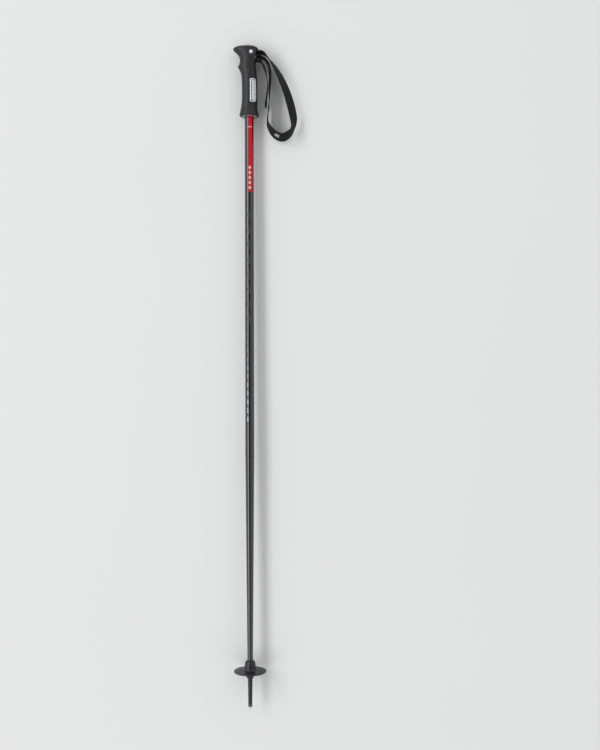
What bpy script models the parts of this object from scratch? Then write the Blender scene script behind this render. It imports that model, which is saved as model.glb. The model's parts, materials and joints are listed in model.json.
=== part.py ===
"""Alpine ski pole: a tapered tube with a moulded grip, a wedge-locked wrist strap, a basket and a steel tip.

Everything is in metres. +Z runs up the shaft's axis, and the origin is the centre of the steel tip's flat end.
-X is the front, where the grip's beak and finger rest face. +X is the rear, where the strap leaves the head.
"""

import math

import bpy
from mathutils import Vector

# ---------------------------------------------------------------- overall
POLE_LENGTH = 1.200  # tip end to the top of the grip's cap
TOUCH_GAP = 0.0003  # left between pieces that are glued, pressed or resting together
ROUND_STEPS = 40  # sides of a large turned piece
SMALL_STEPS = 24  # sides of a small one

# ---------------------------------------------------------------- shaft
SHAFT_RADIUS = 0.00815
SHAFT_WALL = 0.0011
SHAFT_TAPER_HEIGHT = 0.469  # where the taper starts, above the tip
SHAFT_END_RADIUS = 0.0048
SHAFT_END_HEIGHT = 0.066
SHAFT_TOP_DEPTH = 0.038  # from the top of the pole down to the tube's upper end
PLUG_LENGTH = 0.020
PLUG_FLANGE = 0.0015

# ---------------------------------------------------------------- grip
GRIP_LENGTH = 0.1276
SLEEVE_WALL = 0.0014  # the hard sleeve between the tube and the soft shell
SLEEVE_END_DEPTH = 0.0335  # from the top of the pole down to the sleeve's closed end
SLEEVE_END_WALL = 0.0020
COLLAR_WIDTH = 0.0048  # radial width of the ring under the grip
COLLAR_THICKNESS = 0.0016
CAP_DEPTH = 0.0073  # from the top of the pole down to the line between shell and cap
CHEEK_WALL = 0.0021  # rubber beside the strap's housing, at the head's widest
NECK_WALL = 0.0016  # rubber beside the housing's floor
SHELL_RINGS = 40
CAP_RINGS = 9

# ---------------------------------------------------------------- strap and its lock
STRAP_WIDTH = 0.022
STRAP_THICKNESS = 0.0018
STRAP_SIDE_CLEARANCE = 0.0004
HOUSING_WALL = 0.0013
HOUSING_FLOOR_DEPTH = 0.0266  # from the top of the pole down to the inside of its floor
HOUSING_FRONT = 0.0034  # its front wall lies this far in front of the shaft's axis
HOUSING_TOP_DEPTH = 0.0084
PIN_X = 0.0040
PIN_RADIUS = 0.0019
PIN_BORE_RADIUS = 0.0012
PIN_HEAD_RADIUS = 0.0033
PIN_PROUD = 0.0003
SCREW_SLOT_WIDTH = 0.0009
WEDGE_THICKNESS = 0.0038
WEDGE_NOSE_X = 0.0012
WEDGE_END_X = 0.0125
LOOP_HINGE_X = 0.0203  # the loop bends here, just clear of the head
TAIL_HINGE_X = 0.0171
SEAM_END_X = 0.0158
HINGE_ROOM = 0.0009  # between the strap inside the head and the strap that swings
TAIL_HEM_LENGTH = 0.012
TAIL_HEM_THICKNESS = 0.0030

# ---------------------------------------------------------------- badge on the grip's side
BADGE_LOW_DEPTH = 0.1033
BADGE_HIGH_DEPTH = 0.0616
BADGE_FROM = math.radians(38)  # turned about the shaft, from the rear towards the near side
BADGE_TO = math.radians(84)
BADGE_SINK = 0.0005
BADGE_RAISE = 0.0004
BADGE_FIELD_RAISE = 0.0001
BADGE_RIM = 0.0013

# ---------------------------------------------------------------- ferrule, tip and basket
FERRULE_WALL = 0.0008
FERRULE_TOP_HEIGHT = 0.0896
FERRULE_SHOULDER_HEIGHT = 0.0575
SHANK_TOP_RADIUS = 0.0043
SHANK_END_RADIUS = 0.0036
TIP_COLLAR_LENGTH = 0.0050
TIP_LENGTH = 0.0052  # what shows of the steel below the ferrule
TIP_RADIUS = 0.0015
TIP_END_RADIUS = 0.0008
TIP_SHANK_LENGTH = 0.026
BASKET_RADIUS = 0.0293
BASKET_HEIGHT = 0.0695  # middle of the rim
BASKET_THICKNESS = 0.0024
BASKET_DISH = 0.0012  # the rim lies this far below the disc's middle
HUB_TOP_HEIGHT = 0.0884
HUB_BOTTOM_HEIGHT = 0.0582
HUB_LIP = 0.0005  # thickness of the hub at its thin upper end
HUB_WALL = 0.0040  # and where it meets the disc
SKIRT_WALL = 0.0007
SKIRT_SLOTS = 4
SKIRT_SLOT_WIDTH = 0.0052
SKIRT_SLOT_HEIGHT = 0.0060

# ---------------------------------------------------------------- places worked out from these
sleeve_inner = SHAFT_RADIUS + TOUCH_GAP
sleeve_outer = sleeve_inner + SLEEVE_WALL
shell_bore = sleeve_outer + TOUCH_GAP
grip_bottom = POLE_LENGTH - GRIP_LENGTH
cap_line = POLE_LENGTH - CAP_DEPTH
shaft_top = POLE_LENGTH - SHAFT_TOP_DEPTH
sleeve_end = POLE_LENGTH - SLEEVE_END_DEPTH

housing_floor = POLE_LENGTH - HOUSING_FLOOR_DEPTH
housing_top = POLE_LENGTH - HOUSING_TOP_DEPTH
housing_inner = STRAP_WIDTH / 2 + STRAP_SIDE_CLEARANCE
housing_outer = housing_inner + HOUSING_WALL
pocket_half = housing_outer + TOUCH_GAP

# The strands lie on each other inside the head, from the housing's floor up.
tail_strand_z = housing_floor + TOUCH_GAP + STRAP_THICKNESS / 2
wedge_low_z = tail_strand_z + STRAP_THICKNESS / 2 + TOUCH_GAP
wedge_middle_z = wedge_low_z + WEDGE_THICKNESS / 2
lock_strand_z = wedge_low_z + WEDGE_THICKNESS + TOUCH_GAP + STRAP_THICKNESS / 2
eye_radius = PIN_RADIUS + TOUCH_GAP + STRAP_THICKNESS / 2
pin_z = lock_strand_z + STRAP_THICKNESS + TOUCH_GAP + eye_radius
anchor_strand_z = pin_z + eye_radius
bight_radius = (lock_strand_z - tail_strand_z) / 2

ferrule_outer = SHAFT_END_RADIUS + TOUCH_GAP + FERRULE_WALL
hub_bore = ferrule_outer + TOUCH_GAP

# The grip's outline: depth below the top, then how far the rubber reaches beyond the sleeve's bore in front,
# behind and at each side, and how square the rear of the section is (2 is an ellipse).
foot_top = GRIP_LENGTH - 0.0170  # the foot starts to flare here, and the finger rest ends at finger_low
finger_low = 0.0553
waist = foot_top - finger_low
head_side = pocket_half + CHEEK_WALL - shell_bore
neck_side = pocket_half + NECK_WALL - shell_bore
GRIP_OUTLINE = (
    (GRIP_LENGTH, 0.0054, 0.0055, 0.0050, 2.2),
    (GRIP_LENGTH - 0.0010, 0.0069, 0.0069, 0.0062, 2.2),
    (GRIP_LENGTH - 0.0028, 0.0074, 0.0074, 0.0066, 2.2),
    (GRIP_LENGTH - 0.0061, 0.0068, 0.0064, 0.0056, 2.2),
    (foot_top, 0.0046, 0.0044, 0.0033, 2.2),
    (finger_low + 0.74 * waist, 0.0031, 0.0050, 0.0029, 2.3),
    (finger_low + 0.37 * waist, 0.0030, 0.0049, 0.0029, 2.3),
    (finger_low, 0.0038, 0.0040, 0.0030, 2.3),
    (0.0465, 0.0058, 0.0031, 0.0032, 2.4),
    (0.0381, 0.0098, 0.0020, 0.0038, 2.6),
    (0.0330, 0.0077, 0.0014, 0.0042, 2.8),
    (0.0285, 0.0067, 0.0017, neck_side, 3.2),
    (0.0245, 0.0067, 0.0020, head_side, 3.6),
    (0.0193, 0.0080, 0.0026, head_side, 3.8),
    (0.0137, 0.0121, 0.0036, head_side + 0.0002, 3.8),
    (0.0096, 0.0169, 0.0053, head_side + 0.0004, 3.6),
    (0.0059, 0.0187, 0.0061, head_side + 0.0002, 3.2),
    (0.0030, 0.0162, 0.0026, head_side - 0.0018, 2.8),
    (0.0010, 0.0110, -0.0030, head_side - 0.0058, 2.6),
    (0.0, 0.0050, -0.0075, head_side - 0.0100, 2.4),
)

# The loop's route behind the grip, along its outer face: how far behind the loop's hinge, how far below the
# upper face of the strand that leaves the head, and how far the far edge leans out. It ends back in the mouth.
LOOP_ROUTE = (
    (0.0003, 0.0, 0.0),
    (0.0067, 0.0025, 0.0),
    (0.0128, 0.0083, 0.0012),
    (0.0252, 0.0246, 0.0038),
    (0.0394, 0.0507, 0.0060),
    (0.0518, 0.0830, 0.0071),
    (0.0602, 0.1188, 0.0066),
    (0.0588, 0.1400, 0.0024),
    (0.0500, 0.1514, 0.0045),
    (0.0375, 0.1560, 0.0052),
    (0.0233, 0.1482, 0.0046),
    (0.0128, 0.1322, 0.0018),
    (0.0122, 0.1174, 0.0008),
    (0.0144, 0.0948, 0.0004),
    (0.0158, 0.0689, 0.0017),
    (0.0165, 0.0429, 0.0021),
    (0.0151, 0.0276, 0.0011),
    (0.0117, 0.0194, 0.0004),
    (0.0061, 0.0135, 0.0),
)
# The tail's, along the face that lies towards the loop, in the same three measures from its own hinge.
TAIL_ROUTE = (
    (0.0002, 0.0, 0.0),
    (0.0049, 0.0023, 0.0),
    (0.0083, 0.0083, 0.0),
    (0.0136, 0.0221, 0.0),
    (0.0167, 0.0368, 0.0),
    (0.0171, 0.0529, 0.0),
    (0.0152, 0.0690, 0.0),
    (0.0134, 0.0860, 0.0),
)


# ================================================================ helpers
def clear_scene():
    for old in list(bpy.data.objects):
        bpy.data.objects.remove(old, do_unlink=True)


def new_collection(name):
    made = bpy.data.collections.new(name)
    bpy.context.scene.collection.children.link(made)
    return made


def new_material(name, colour, roughness, metallic=0.0):
    made = bpy.data.materials.new(name)
    made.use_nodes = True
    shader = made.node_tree.nodes["Principled BSDF"]
    shader.inputs["Base Color"].default_value = (*colour, 1.0)
    shader.inputs["Roughness"].default_value = roughness
    shader.inputs["Metallic"].default_value = metallic
    made.diffuse_color = (*colour, 1.0)
    return made


def place(name, mesh, material=None, location=(0, 0, 0)):
    """Makes an object from a mesh. Without a material it is a cutter."""
    made = bpy.data.objects.new(name, mesh)
    made.location = location
    if material is None:
        cutters.objects.link(made)
        made.display_type = "WIRE"
        made.hide_render = True
    else:
        pole.objects.link(made)
        mesh.materials.append(material)
    return made


def take_primitive(name, material=None):
    """Names the primitive that bpy.ops has just added, and moves it to its collection."""
    made = bpy.context.object
    made.name = name
    bpy.ops.object.transform_apply(location=False, rotation=True, scale=True)
    for home in list(made.users_collection):
        home.objects.unlink(made)
    if material is None:
        cutters.objects.link(made)
        made.display_type = "WIRE"
        made.hide_render = True
    else:
        pole.objects.link(made)
        made.data.materials.append(material)
    return made


def box(name, low, high, material=None):
    """A box between two corners."""
    middle = [(a + b) / 2 for a, b in zip(low, high)]
    bpy.ops.mesh.primitive_cube_add(size=1, location=middle)
    bpy.context.object.scale = [b - a for a, b in zip(low, high)]
    return take_primitive(name, material)


def rod_along_y(name, radius, y_from, y_to, x, z, material=None, steps=SMALL_STEPS):
    bpy.ops.mesh.primitive_cylinder_add(
        vertices=steps,
        radius=radius,
        depth=y_to - y_from,
        location=(x, (y_from + y_to) / 2, z),
        rotation=(math.pi / 2, 0, 0),
    )
    return take_primitive(name, material)


def rod_along_z(name, radius, z_from, z_to, material=None, steps=ROUND_STEPS):
    bpy.ops.mesh.primitive_cylinder_add(
        vertices=steps, radius=radius, depth=z_to - z_from, location=(0, 0, (z_from + z_to) / 2)
    )
    return take_primitive(name, material)


def turned(name, profile, material=None, steps=ROUND_STEPS, closed=False):
    """Turns (radius, height) points about the Z axis. The points run down the outer side."""
    points = [(radius, 0, height) for radius, height in profile]
    edges = [(i, i + 1) for i in range(len(points) - 1)]
    if closed:
        edges.append((len(points) - 1, 0))
    mesh = bpy.data.meshes.new(name)
    mesh.from_pydata(points, edges, [])
    made = place(name, mesh, material)
    screw = made.modifiers.new("turn", "SCREW")
    screw.steps = screw.render_steps = steps
    screw.use_merge_vertices = True
    screw.merge_threshold = 0.00001
    screw.use_smooth_shade = True
    return made


def combine(target, other, operation="DIFFERENCE"):
    """Adds a Boolean of another object to the target."""
    modifier = target.modifiers.new(other.name, "BOOLEAN")
    modifier.operation = operation
    modifier.object = other
    return target


def smooth_through(points, per_span):
    """Points along a Catmull-Rom curve through the given tuples, in any number of dimensions."""
    ends = [points[0], *points, points[-1]]
    made = []
    for before, start, end, after in zip(ends, ends[1:], ends[2:], ends[3:]):
        for step in range(per_span):
            t = step / per_span
            made.append(
                tuple(
                    b
                    + 0.5 * ((c - a) * t + (2 * a - 5 * b + 4 * c - d) * t**2 + (3 * b - a - 3 * c + d) * t**3)
                    for a, b, c, d in zip(before, start, end, after)
                )
            )
    made.append(tuple(points[-1]))
    return made


def arc(centre_x, centre_z, radius, start_degrees, end_degrees, steps):
    """(x, z, 0) points along an arc, both ends included. 0 degrees points to +X and 90 to +Z."""
    made = []
    for i in range(steps + 1):
        angle = math.radians(start_degrees + (end_degrees - start_degrees) * i / steps)
        made.append((centre_x + radius * math.cos(angle), centre_z + radius * math.sin(angle), 0))
    return made


def webbing(name, route, material, along_face=False):
    """A strip of webbing through (x, z, reach) points, where reach is how far its far edge leans outwards.

    Outwards is to the left of the route, seen from the near side. The points lie along the strip's middle, or
    with along_face along its outer face."""
    corners = []
    for i, (x, z, reach) in enumerate(route):
        ahead = Vector(route[min(i + 1, len(route) - 1)][:2])
        behind = Vector(route[max(i - 1, 0)][:2])
        along = (ahead - behind).normalized()
        outward = Vector((-along.y, 0, along.x))
        slope = math.asin(min(2 * reach / STRAP_WIDTH, 0.9))
        across = (outward * math.sin(slope) + Vector((0, math.cos(slope), 0))) * STRAP_WIDTH / 2
        middle = Vector((x, 0, z))
        if along_face:
            middle -= outward * STRAP_THICKNESS / 2
        corners += [tuple(middle - across), tuple(middle + across)]
    faces = [(2 * i, 2 * i + 1, 2 * i + 3, 2 * i + 2) for i in range(len(route) - 1)]
    mesh = bpy.data.meshes.new(name)
    mesh.from_pydata(corners, [], faces)
    made = place(name, mesh, material)
    thicken = made.modifiers.new("thickness", "SOLIDIFY")
    thicken.thickness = STRAP_THICKNESS
    thicken.offset = 0
    thicken.use_even_offset = True
    return made


# ================================================================ shaft
def shaft_radius_at(height):
    """Outer radius of the tube at a height above the tip."""
    if height >= SHAFT_TAPER_HEIGHT:
        return SHAFT_RADIUS
    share = (height - SHAFT_END_HEIGHT) / (SHAFT_TAPER_HEIGHT - SHAFT_END_HEIGHT)
    return SHAFT_END_RADIUS + (SHAFT_RADIUS - SHAFT_END_RADIUS) * share


def make_shaft():
    turned(
        "shaft_tube",
        [
            (SHAFT_RADIUS, shaft_top),
            (SHAFT_RADIUS, SHAFT_TAPER_HEIGHT),
            (SHAFT_END_RADIUS, SHAFT_END_HEIGHT),
            (SHAFT_END_RADIUS - SHAFT_WALL, SHAFT_END_HEIGHT),
            (SHAFT_RADIUS - SHAFT_WALL, SHAFT_TAPER_HEIGHT),
            (SHAFT_RADIUS - SHAFT_WALL, shaft_top),
        ],
        lacquer,
        closed=True,
    )
    inner = SHAFT_RADIUS - SHAFT_WALL - TOUCH_GAP
    seat = shaft_top + TOUCH_GAP
    turned(
        "tube_plug",
        [
            (0, seat + PLUG_FLANGE),
            (SHAFT_RADIUS - TOUCH_GAP, seat + PLUG_FLANGE),
            (SHAFT_RADIUS - TOUCH_GAP, seat),
            (inner, seat),
            (inner, seat - PLUG_LENGTH + TOUCH_GAP),
            (inner - SHAFT_WALL, seat - PLUG_LENGTH),
            (0, seat - PLUG_LENGTH),
        ],
        hard_plastic,
        SMALL_STEPS,
    )


# ================================================================ grip
def outline_at(height):
    """Front, rear and side reach of the grip at a height, and how square its rear is."""
    depth = POLE_LENGTH - height
    rows = GRIP_OUTLINE
    spans = [i for i in range(len(rows) - 1) if rows[i][0] >= depth >= rows[i + 1][0]]
    i = spans[0] if spans else (0 if depth > rows[0][0] else len(rows) - 2)
    t = (rows[i][0] - depth) / (rows[i][0] - rows[i + 1][0])
    here, after = rows[i], rows[i + 1]
    slopes = []
    for j in (i, i + 1):
        low, high = rows[max(j - 1, 0)], rows[min(j + 1, len(rows) - 1)]
        slopes.append([(b - a) / (low[0] - high[0]) for a, b in zip(low[1:], high[1:])])
    span = here[0] - after[0]
    found = []
    for k in range(4):
        a, b = here[k + 1], after[k + 1]
        m, n = slopes[0][k] * span, slopes[1][k] * span
        found.append(
            (2 * t**3 - 3 * t**2 + 1) * a
            + (t**3 - 2 * t**2 + t) * m
            + (3 * t**2 - 2 * t**3) * b
            + (t**3 - t**2) * n
        )
    front, rear, side, square = found
    return shell_bore + front, shell_bore + rear, shell_bore + side, square


def grip_point(height, turn, beyond=0.0):
    """A point of the grip's skin. turn goes from the rear (0) by +Y (90 degrees) to the front.

    beyond moves the point outwards."""
    front, rear, side, square = outline_at(height)
    c, s = math.cos(turn), math.sin(turn)
    power, reach = (square, rear) if c >= 0 else (2.1, front)

    def on_section(cosine, sine):
        x = math.copysign(abs(cosine) ** (2 / power) * reach, cosine)
        y = math.copysign(abs(sine) ** (2 / power) * side, sine)
        return Vector((x, y))

    here = on_section(c, s)
    if beyond:
        step = 0.02
        before = on_section(math.cos(turn - step), math.sin(turn - step))
        after = on_section(math.cos(turn + step), math.sin(turn + step))
        along = (after - before).normalized()
        here += Vector((along.y, -along.x)) * beyond
    return (here.x, here.y, height)


def grip_skin(name, heights, material=None):
    """A closed body inside the grip's skin between the first height and the last."""
    turns = [2 * math.pi * i / ROUND_STEPS for i in range(ROUND_STEPS)]
    points = [grip_point(height, turn) for height in heights for turn in turns]
    faces = [tuple(reversed(range(ROUND_STEPS)))]
    for ring in range(len(heights) - 1):
        for i in range(ROUND_STEPS):
            low, high = ring * ROUND_STEPS, (ring + 1) * ROUND_STEPS
            j = (i + 1) % ROUND_STEPS
            faces.append((low + i, low + j, high + j, high + i))
    faces.append(tuple(range((len(heights) - 1) * ROUND_STEPS, len(heights) * ROUND_STEPS)))
    mesh = bpy.data.meshes.new(name)
    mesh.from_pydata(points, [], faces)
    return place(name, mesh, material)


def heights_between(low, high, count, crowd=1.0):
    """Heights from low to high. crowd above 1 gathers them towards the top."""
    return [low + (high - low) * (1 - (1 - i / (count - 1)) ** crowd) for i in range(count)]


def grip_patch(name, low, high, turn_from, turn_to, inner, outer, material=None, inset=0.0):
    """A curved plate that follows the grip's skin, from inner to outer beyond it. inset draws in its edges."""
    columns, rows = 9, 13
    middle_height = (low + high) / 2
    width = (
        Vector(grip_point(middle_height, -turn_to)) - Vector(grip_point(middle_height, -turn_from))
    ).length
    turn_inset = inset / width * (turn_to - turn_from)
    first, last = turn_from + turn_inset, turn_to - turn_inset
    turns = [-(first + (last - first) * i / (columns - 1)) for i in range(columns)]
    heights = heights_between(low + inset, high - inset, rows)
    points = [grip_point(h, turn, beyond) for beyond in (inner, outer) for h in heights for turn in turns]
    layer = rows * columns

    def at(side, row, column):
        return side * layer + row * columns + column

    faces = []
    for r in range(rows - 1):
        for c in range(columns - 1):
            faces.append((at(0, r, c), at(0, r, c + 1), at(0, r + 1, c + 1), at(0, r + 1, c)))
            faces.append((at(1, r, c), at(1, r + 1, c), at(1, r + 1, c + 1), at(1, r, c + 1)))
    right, top = columns - 1, rows - 1
    for r in range(top):
        faces.append((at(0, r, 0), at(0, r + 1, 0), at(1, r + 1, 0), at(1, r, 0)))
        faces.append((at(0, r, right), at(1, r, right), at(1, r + 1, right), at(0, r + 1, right)))
    for c in range(right):
        faces.append((at(0, 0, c), at(1, 0, c), at(1, 0, c + 1), at(0, 0, c + 1)))
        faces.append((at(0, top, c), at(0, top, c + 1), at(1, top, c + 1), at(1, top, c)))
    mesh = bpy.data.meshes.new(name)
    mesh.from_pydata(points, [], faces)
    return place(name, mesh, material)


def make_grip():
    """The soft shell, its cap, the hard sleeve inside and the ring under it."""
    collar_outer = sleeve_inner + COLLAR_WIDTH
    shell = grip_skin("grip_shell", heights_between(grip_bottom, cap_line, SHELL_RINGS), soft_rubber)
    bore_top = sleeve_end + TOUCH_GAP
    combine(shell, rod_along_z("cut_bore", shell_bore, grip_bottom - 0.01, bore_top))
    collar_room = COLLAR_THICKNESS + TOUCH_GAP
    combine(
        shell,
        rod_along_z("cut_collar", collar_outer + TOUCH_GAP, grip_bottom - 0.01, grip_bottom + collar_room),
    )
    pocket_low = (-HOUSING_FRONT - TOUCH_GAP, -pocket_half, housing_floor - HOUSING_WALL - TOUCH_GAP)
    pocket_high = (0.05, pocket_half, cap_line + 0.01)
    combine(shell, box("cut_pocket", pocket_low, pocket_high))
    side = head_half_width()
    beyond = side + 0.01
    combine(shell, rod_along_y("cut_heads", PIN_HEAD_RADIUS + TOUCH_GAP, -beyond, beyond, PIN_X, pin_z))
    badge_low, badge_high = POLE_LENGTH - BADGE_LOW_DEPTH, POLE_LENGTH - BADGE_HIGH_DEPTH
    recess = grip_patch(
        "cut_badge",
        badge_low,
        badge_high,
        BADGE_FROM,
        BADGE_TO,
        -BADGE_SINK - TOUCH_GAP,
        0.004,
        inset=-TOUCH_GAP,
    )
    combine(shell, recess)

    cap_heights = heights_between(cap_line + TOUCH_GAP, POLE_LENGTH, CAP_RINGS, 1.8)
    grip_skin("grip_cap", cap_heights, soft_rubber)

    turned(
        "grip_sleeve",
        [
            (0, sleeve_end),
            (sleeve_outer - 0.001, sleeve_end),
            (sleeve_outer, sleeve_end - 0.001),
            (sleeve_outer, grip_bottom + collar_room + TOUCH_GAP),
            (sleeve_inner, grip_bottom + collar_room + TOUCH_GAP),
            (sleeve_inner, sleeve_end - SLEEVE_END_WALL),
            (0, sleeve_end - SLEEVE_END_WALL),
        ],
        hard_plastic,
    )
    turned(
        "grip_collar",
        [
            (collar_outer, grip_bottom + COLLAR_THICKNESS),
            (collar_outer, grip_bottom),
            (sleeve_inner, grip_bottom),
            (sleeve_inner, grip_bottom + COLLAR_THICKNESS),
        ],
        grey_plastic,
        closed=True,
    )


def make_badge():
    """A plain framed badge let into the grip's near side."""
    badge_low, badge_high = POLE_LENGTH - BADGE_LOW_DEPTH, POLE_LENGTH - BADGE_HIGH_DEPTH
    frame = grip_patch(
        "badge_frame", badge_low, badge_high, BADGE_FROM, BADGE_TO, -BADGE_SINK, BADGE_RAISE, bright_metal
    )
    window = grip_patch(
        "cut_window", badge_low, badge_high, BADGE_FROM, BADGE_TO, -0.003, 0.003, inset=BADGE_RIM
    )
    combine(frame, window)
    grip_patch(
        "badge_field",
        badge_low,
        badge_high,
        BADGE_FROM,
        BADGE_TO,
        -BADGE_SINK,
        BADGE_FIELD_RAISE,
        dark_enamel,
        inset=BADGE_RIM + TOUCH_GAP,
    )


# ================================================================ strap lock, inside the head
def head_half_width():
    """How far the shell's side lies from the shaft's axis at the pin."""
    _, rear, side, square = outline_at(pin_z)
    share = min(PIN_X / rear, 1)
    return side * (1 - share**square) ** (1 / square)


def make_housing():
    """The hard box in the head for the pin, the wedge and the strap. It is open at the top and behind."""
    floor_under = housing_floor - HOUSING_WALL
    corner = (-HOUSING_FRONT, -housing_outer, floor_under)
    housing = box("strap_housing", corner, (0.05, housing_outer, housing_top), hard_plastic)
    skin = grip_skin("trim_head", heights_between(floor_under - 0.004, cap_line, 14))
    combine(housing, skin, "INTERSECT")
    inside_low = (-HOUSING_FRONT + HOUSING_WALL, -housing_inner, housing_floor)
    combine(housing, box("cut_inside", inside_low, (0.06, housing_inner, housing_top + 0.01)))
    reach = housing_outer + 0.01
    combine(housing, rod_along_y("cut_housing_pin", PIN_RADIUS + TOUCH_GAP, -reach, reach, PIN_X, pin_z))


def make_strap_pin():
    """The two-piece bolt across the head: a barrel with the near head, and a screw with the far one.

    Both heads pass through the rubber and seat on the housing's walls."""
    side = head_half_width()
    head_out = side + PIN_PROUD
    head_in = housing_outer + TOUCH_GAP
    barrel = turned(
        "strap_pin_barrel",
        [
            (0, head_out),
            (PIN_HEAD_RADIUS - 0.0005, head_out),
            (PIN_HEAD_RADIUS, head_out - 0.0005),
            (PIN_HEAD_RADIUS, head_in),
            (PIN_RADIUS, head_in),
            (PIN_RADIUS, -housing_inner),
            (PIN_BORE_RADIUS + TOUCH_GAP, -housing_inner),
            (PIN_BORE_RADIUS + TOUCH_GAP, housing_inner),
            (0, housing_inner),
        ],
        bright_metal,
        SMALL_STEPS,
    )
    screw = turned(
        "strap_pin_screw",
        [
            (0, head_out),
            (PIN_HEAD_RADIUS - 0.0005, head_out),
            (PIN_HEAD_RADIUS, head_out - 0.0005),
            (PIN_HEAD_RADIUS, head_in),
            (PIN_RADIUS, head_in),
            (PIN_RADIUS, housing_inner + TOUCH_GAP),
            (PIN_BORE_RADIUS, housing_inner + TOUCH_GAP),
            (PIN_BORE_RADIUS, -housing_inner + 0.004),
            (0, -housing_inner + 0.004),
        ],
        bright_metal,
        SMALL_STEPS,
    )
    slot_half = SCREW_SLOT_WIDTH / 2
    slot = box("cut_screw_slot", (-0.01, -slot_half, head_out - 0.0005), (0.01, slot_half, head_out + 0.01))
    combine(screw, slot)
    for piece, turn in ((barrel, math.pi / 2), (screw, -math.pi / 2), (slot, -math.pi / 2)):
        piece.location = (PIN_X, 0, pin_z)
        piece.rotation_euler = (turn, 0, 0)
    slot.location = Vector((PIN_X, 0, pin_z)) + Vector((0, 1, 0)) * (head_out + 0.00475)


def make_wedge():
    """The block that the strap doubles back round. It slides out of the head to free the strap."""
    half = WEDGE_THICKNESS / 2
    nose = WEDGE_NOSE_X + half
    outline = [(x, z) for x, z, _ in arc(nose, 0, half, 90, 270, 10)]
    outline += [(WEDGE_END_X - 0.0006, -half), (WEDGE_END_X, -half + 0.0006)]
    outline += [(WEDGE_END_X, half - 0.0006), (WEDGE_END_X - 0.0006, half)]
    curve = bpy.data.curves.new("strap_wedge", "CURVE")
    curve.dimensions = "2D"
    curve.fill_mode = "BOTH"
    curve.extrude = STRAP_WIDTH / 2
    line = curve.splines.new("POLY")
    line.points.add(len(outline) - 1)
    for point, (x, z) in zip(line.points, outline):
        point.co = (x, z, 0, 1)
    line.use_cyclic_u = True
    curve.materials.append(grey_plastic)
    made = bpy.data.objects.new("strap_wedge", curve)
    made.rotation_euler = (math.pi / 2, 0, 0)
    made.location = (0, 0, wedge_middle_z)
    pole.objects.link(made)


# ================================================================ strap
def make_strap():
    loop_start_x = LOOP_HINGE_X - HINGE_ROOM
    tail_start_x = TAIL_HINGE_X - HINGE_ROOM
    # Sewn round the pin: out along the top, round the pin, and back under itself.
    sewn = [(loop_start_x, anchor_strand_z, 0), (0.012, anchor_strand_z, 0)]
    sewn += arc(PIN_X, pin_z, eye_radius, 90, 300, 14)
    seam_z = anchor_strand_z - STRAP_THICKNESS - TOUCH_GAP
    rise = seam_z - sewn[-1][1]
    sewn += [(sewn[-1][0] + rise * math.sqrt(3), seam_z, 0), (SEAM_END_X, seam_z, 0)]
    webbing("strap_anchor", sewn, weave)

    # Doubled round the wedge: in above it, round its nose and out below it.
    turn_x = WEDGE_NOSE_X + WEDGE_THICKNESS / 2
    bight = [(loop_start_x, lock_strand_z, 0), (0.012, lock_strand_z, 0)]
    bight += arc(turn_x, wedge_middle_z, bight_radius, 90, 270, 12)
    bight += [(0.010, tail_strand_z, 0), (tail_start_x, tail_strand_z, 0)]
    webbing("strap_bight", bight, weave)

    half = STRAP_THICKNESS / 2
    route = [(LOOP_HINGE_X + x, anchor_strand_z + half - down, reach) for x, down, reach in LOOP_ROUTE]
    route.append((LOOP_HINGE_X + LOOP_ROUTE[0][0], lock_strand_z - half, 0))
    webbing("strap_loop", smooth_through(route, 4), weave, along_face=True)

    route = [(TAIL_HINGE_X + x, tail_strand_z + half - down, reach) for x, down, reach in TAIL_ROUTE]
    path = smooth_through(route, 4)
    tail = webbing("strap_tail", path, weave, along_face=True)
    hem_end = Vector((path[-1][0], 0, path[-1][1]))
    along = (Vector((path[-5][0], 0, path[-5][1])) - hem_end).normalized()
    hem_end -= Vector((along.z, 0, -along.x)) * half
    hem = box(
        "join_hem",
        (-TAIL_HEM_THICKNESS / 2, -STRAP_WIDTH / 2, -0.0002),
        (TAIL_HEM_THICKNESS / 2, STRAP_WIDTH / 2, TAIL_HEM_LENGTH),
    )
    hem.rotation_euler = (0, math.atan2(along.x, along.z), 0)
    hem.location = hem_end + along * (TAIL_HEM_LENGTH / 2 - 0.0001)
    combine(tail, hem, "UNION")


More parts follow.
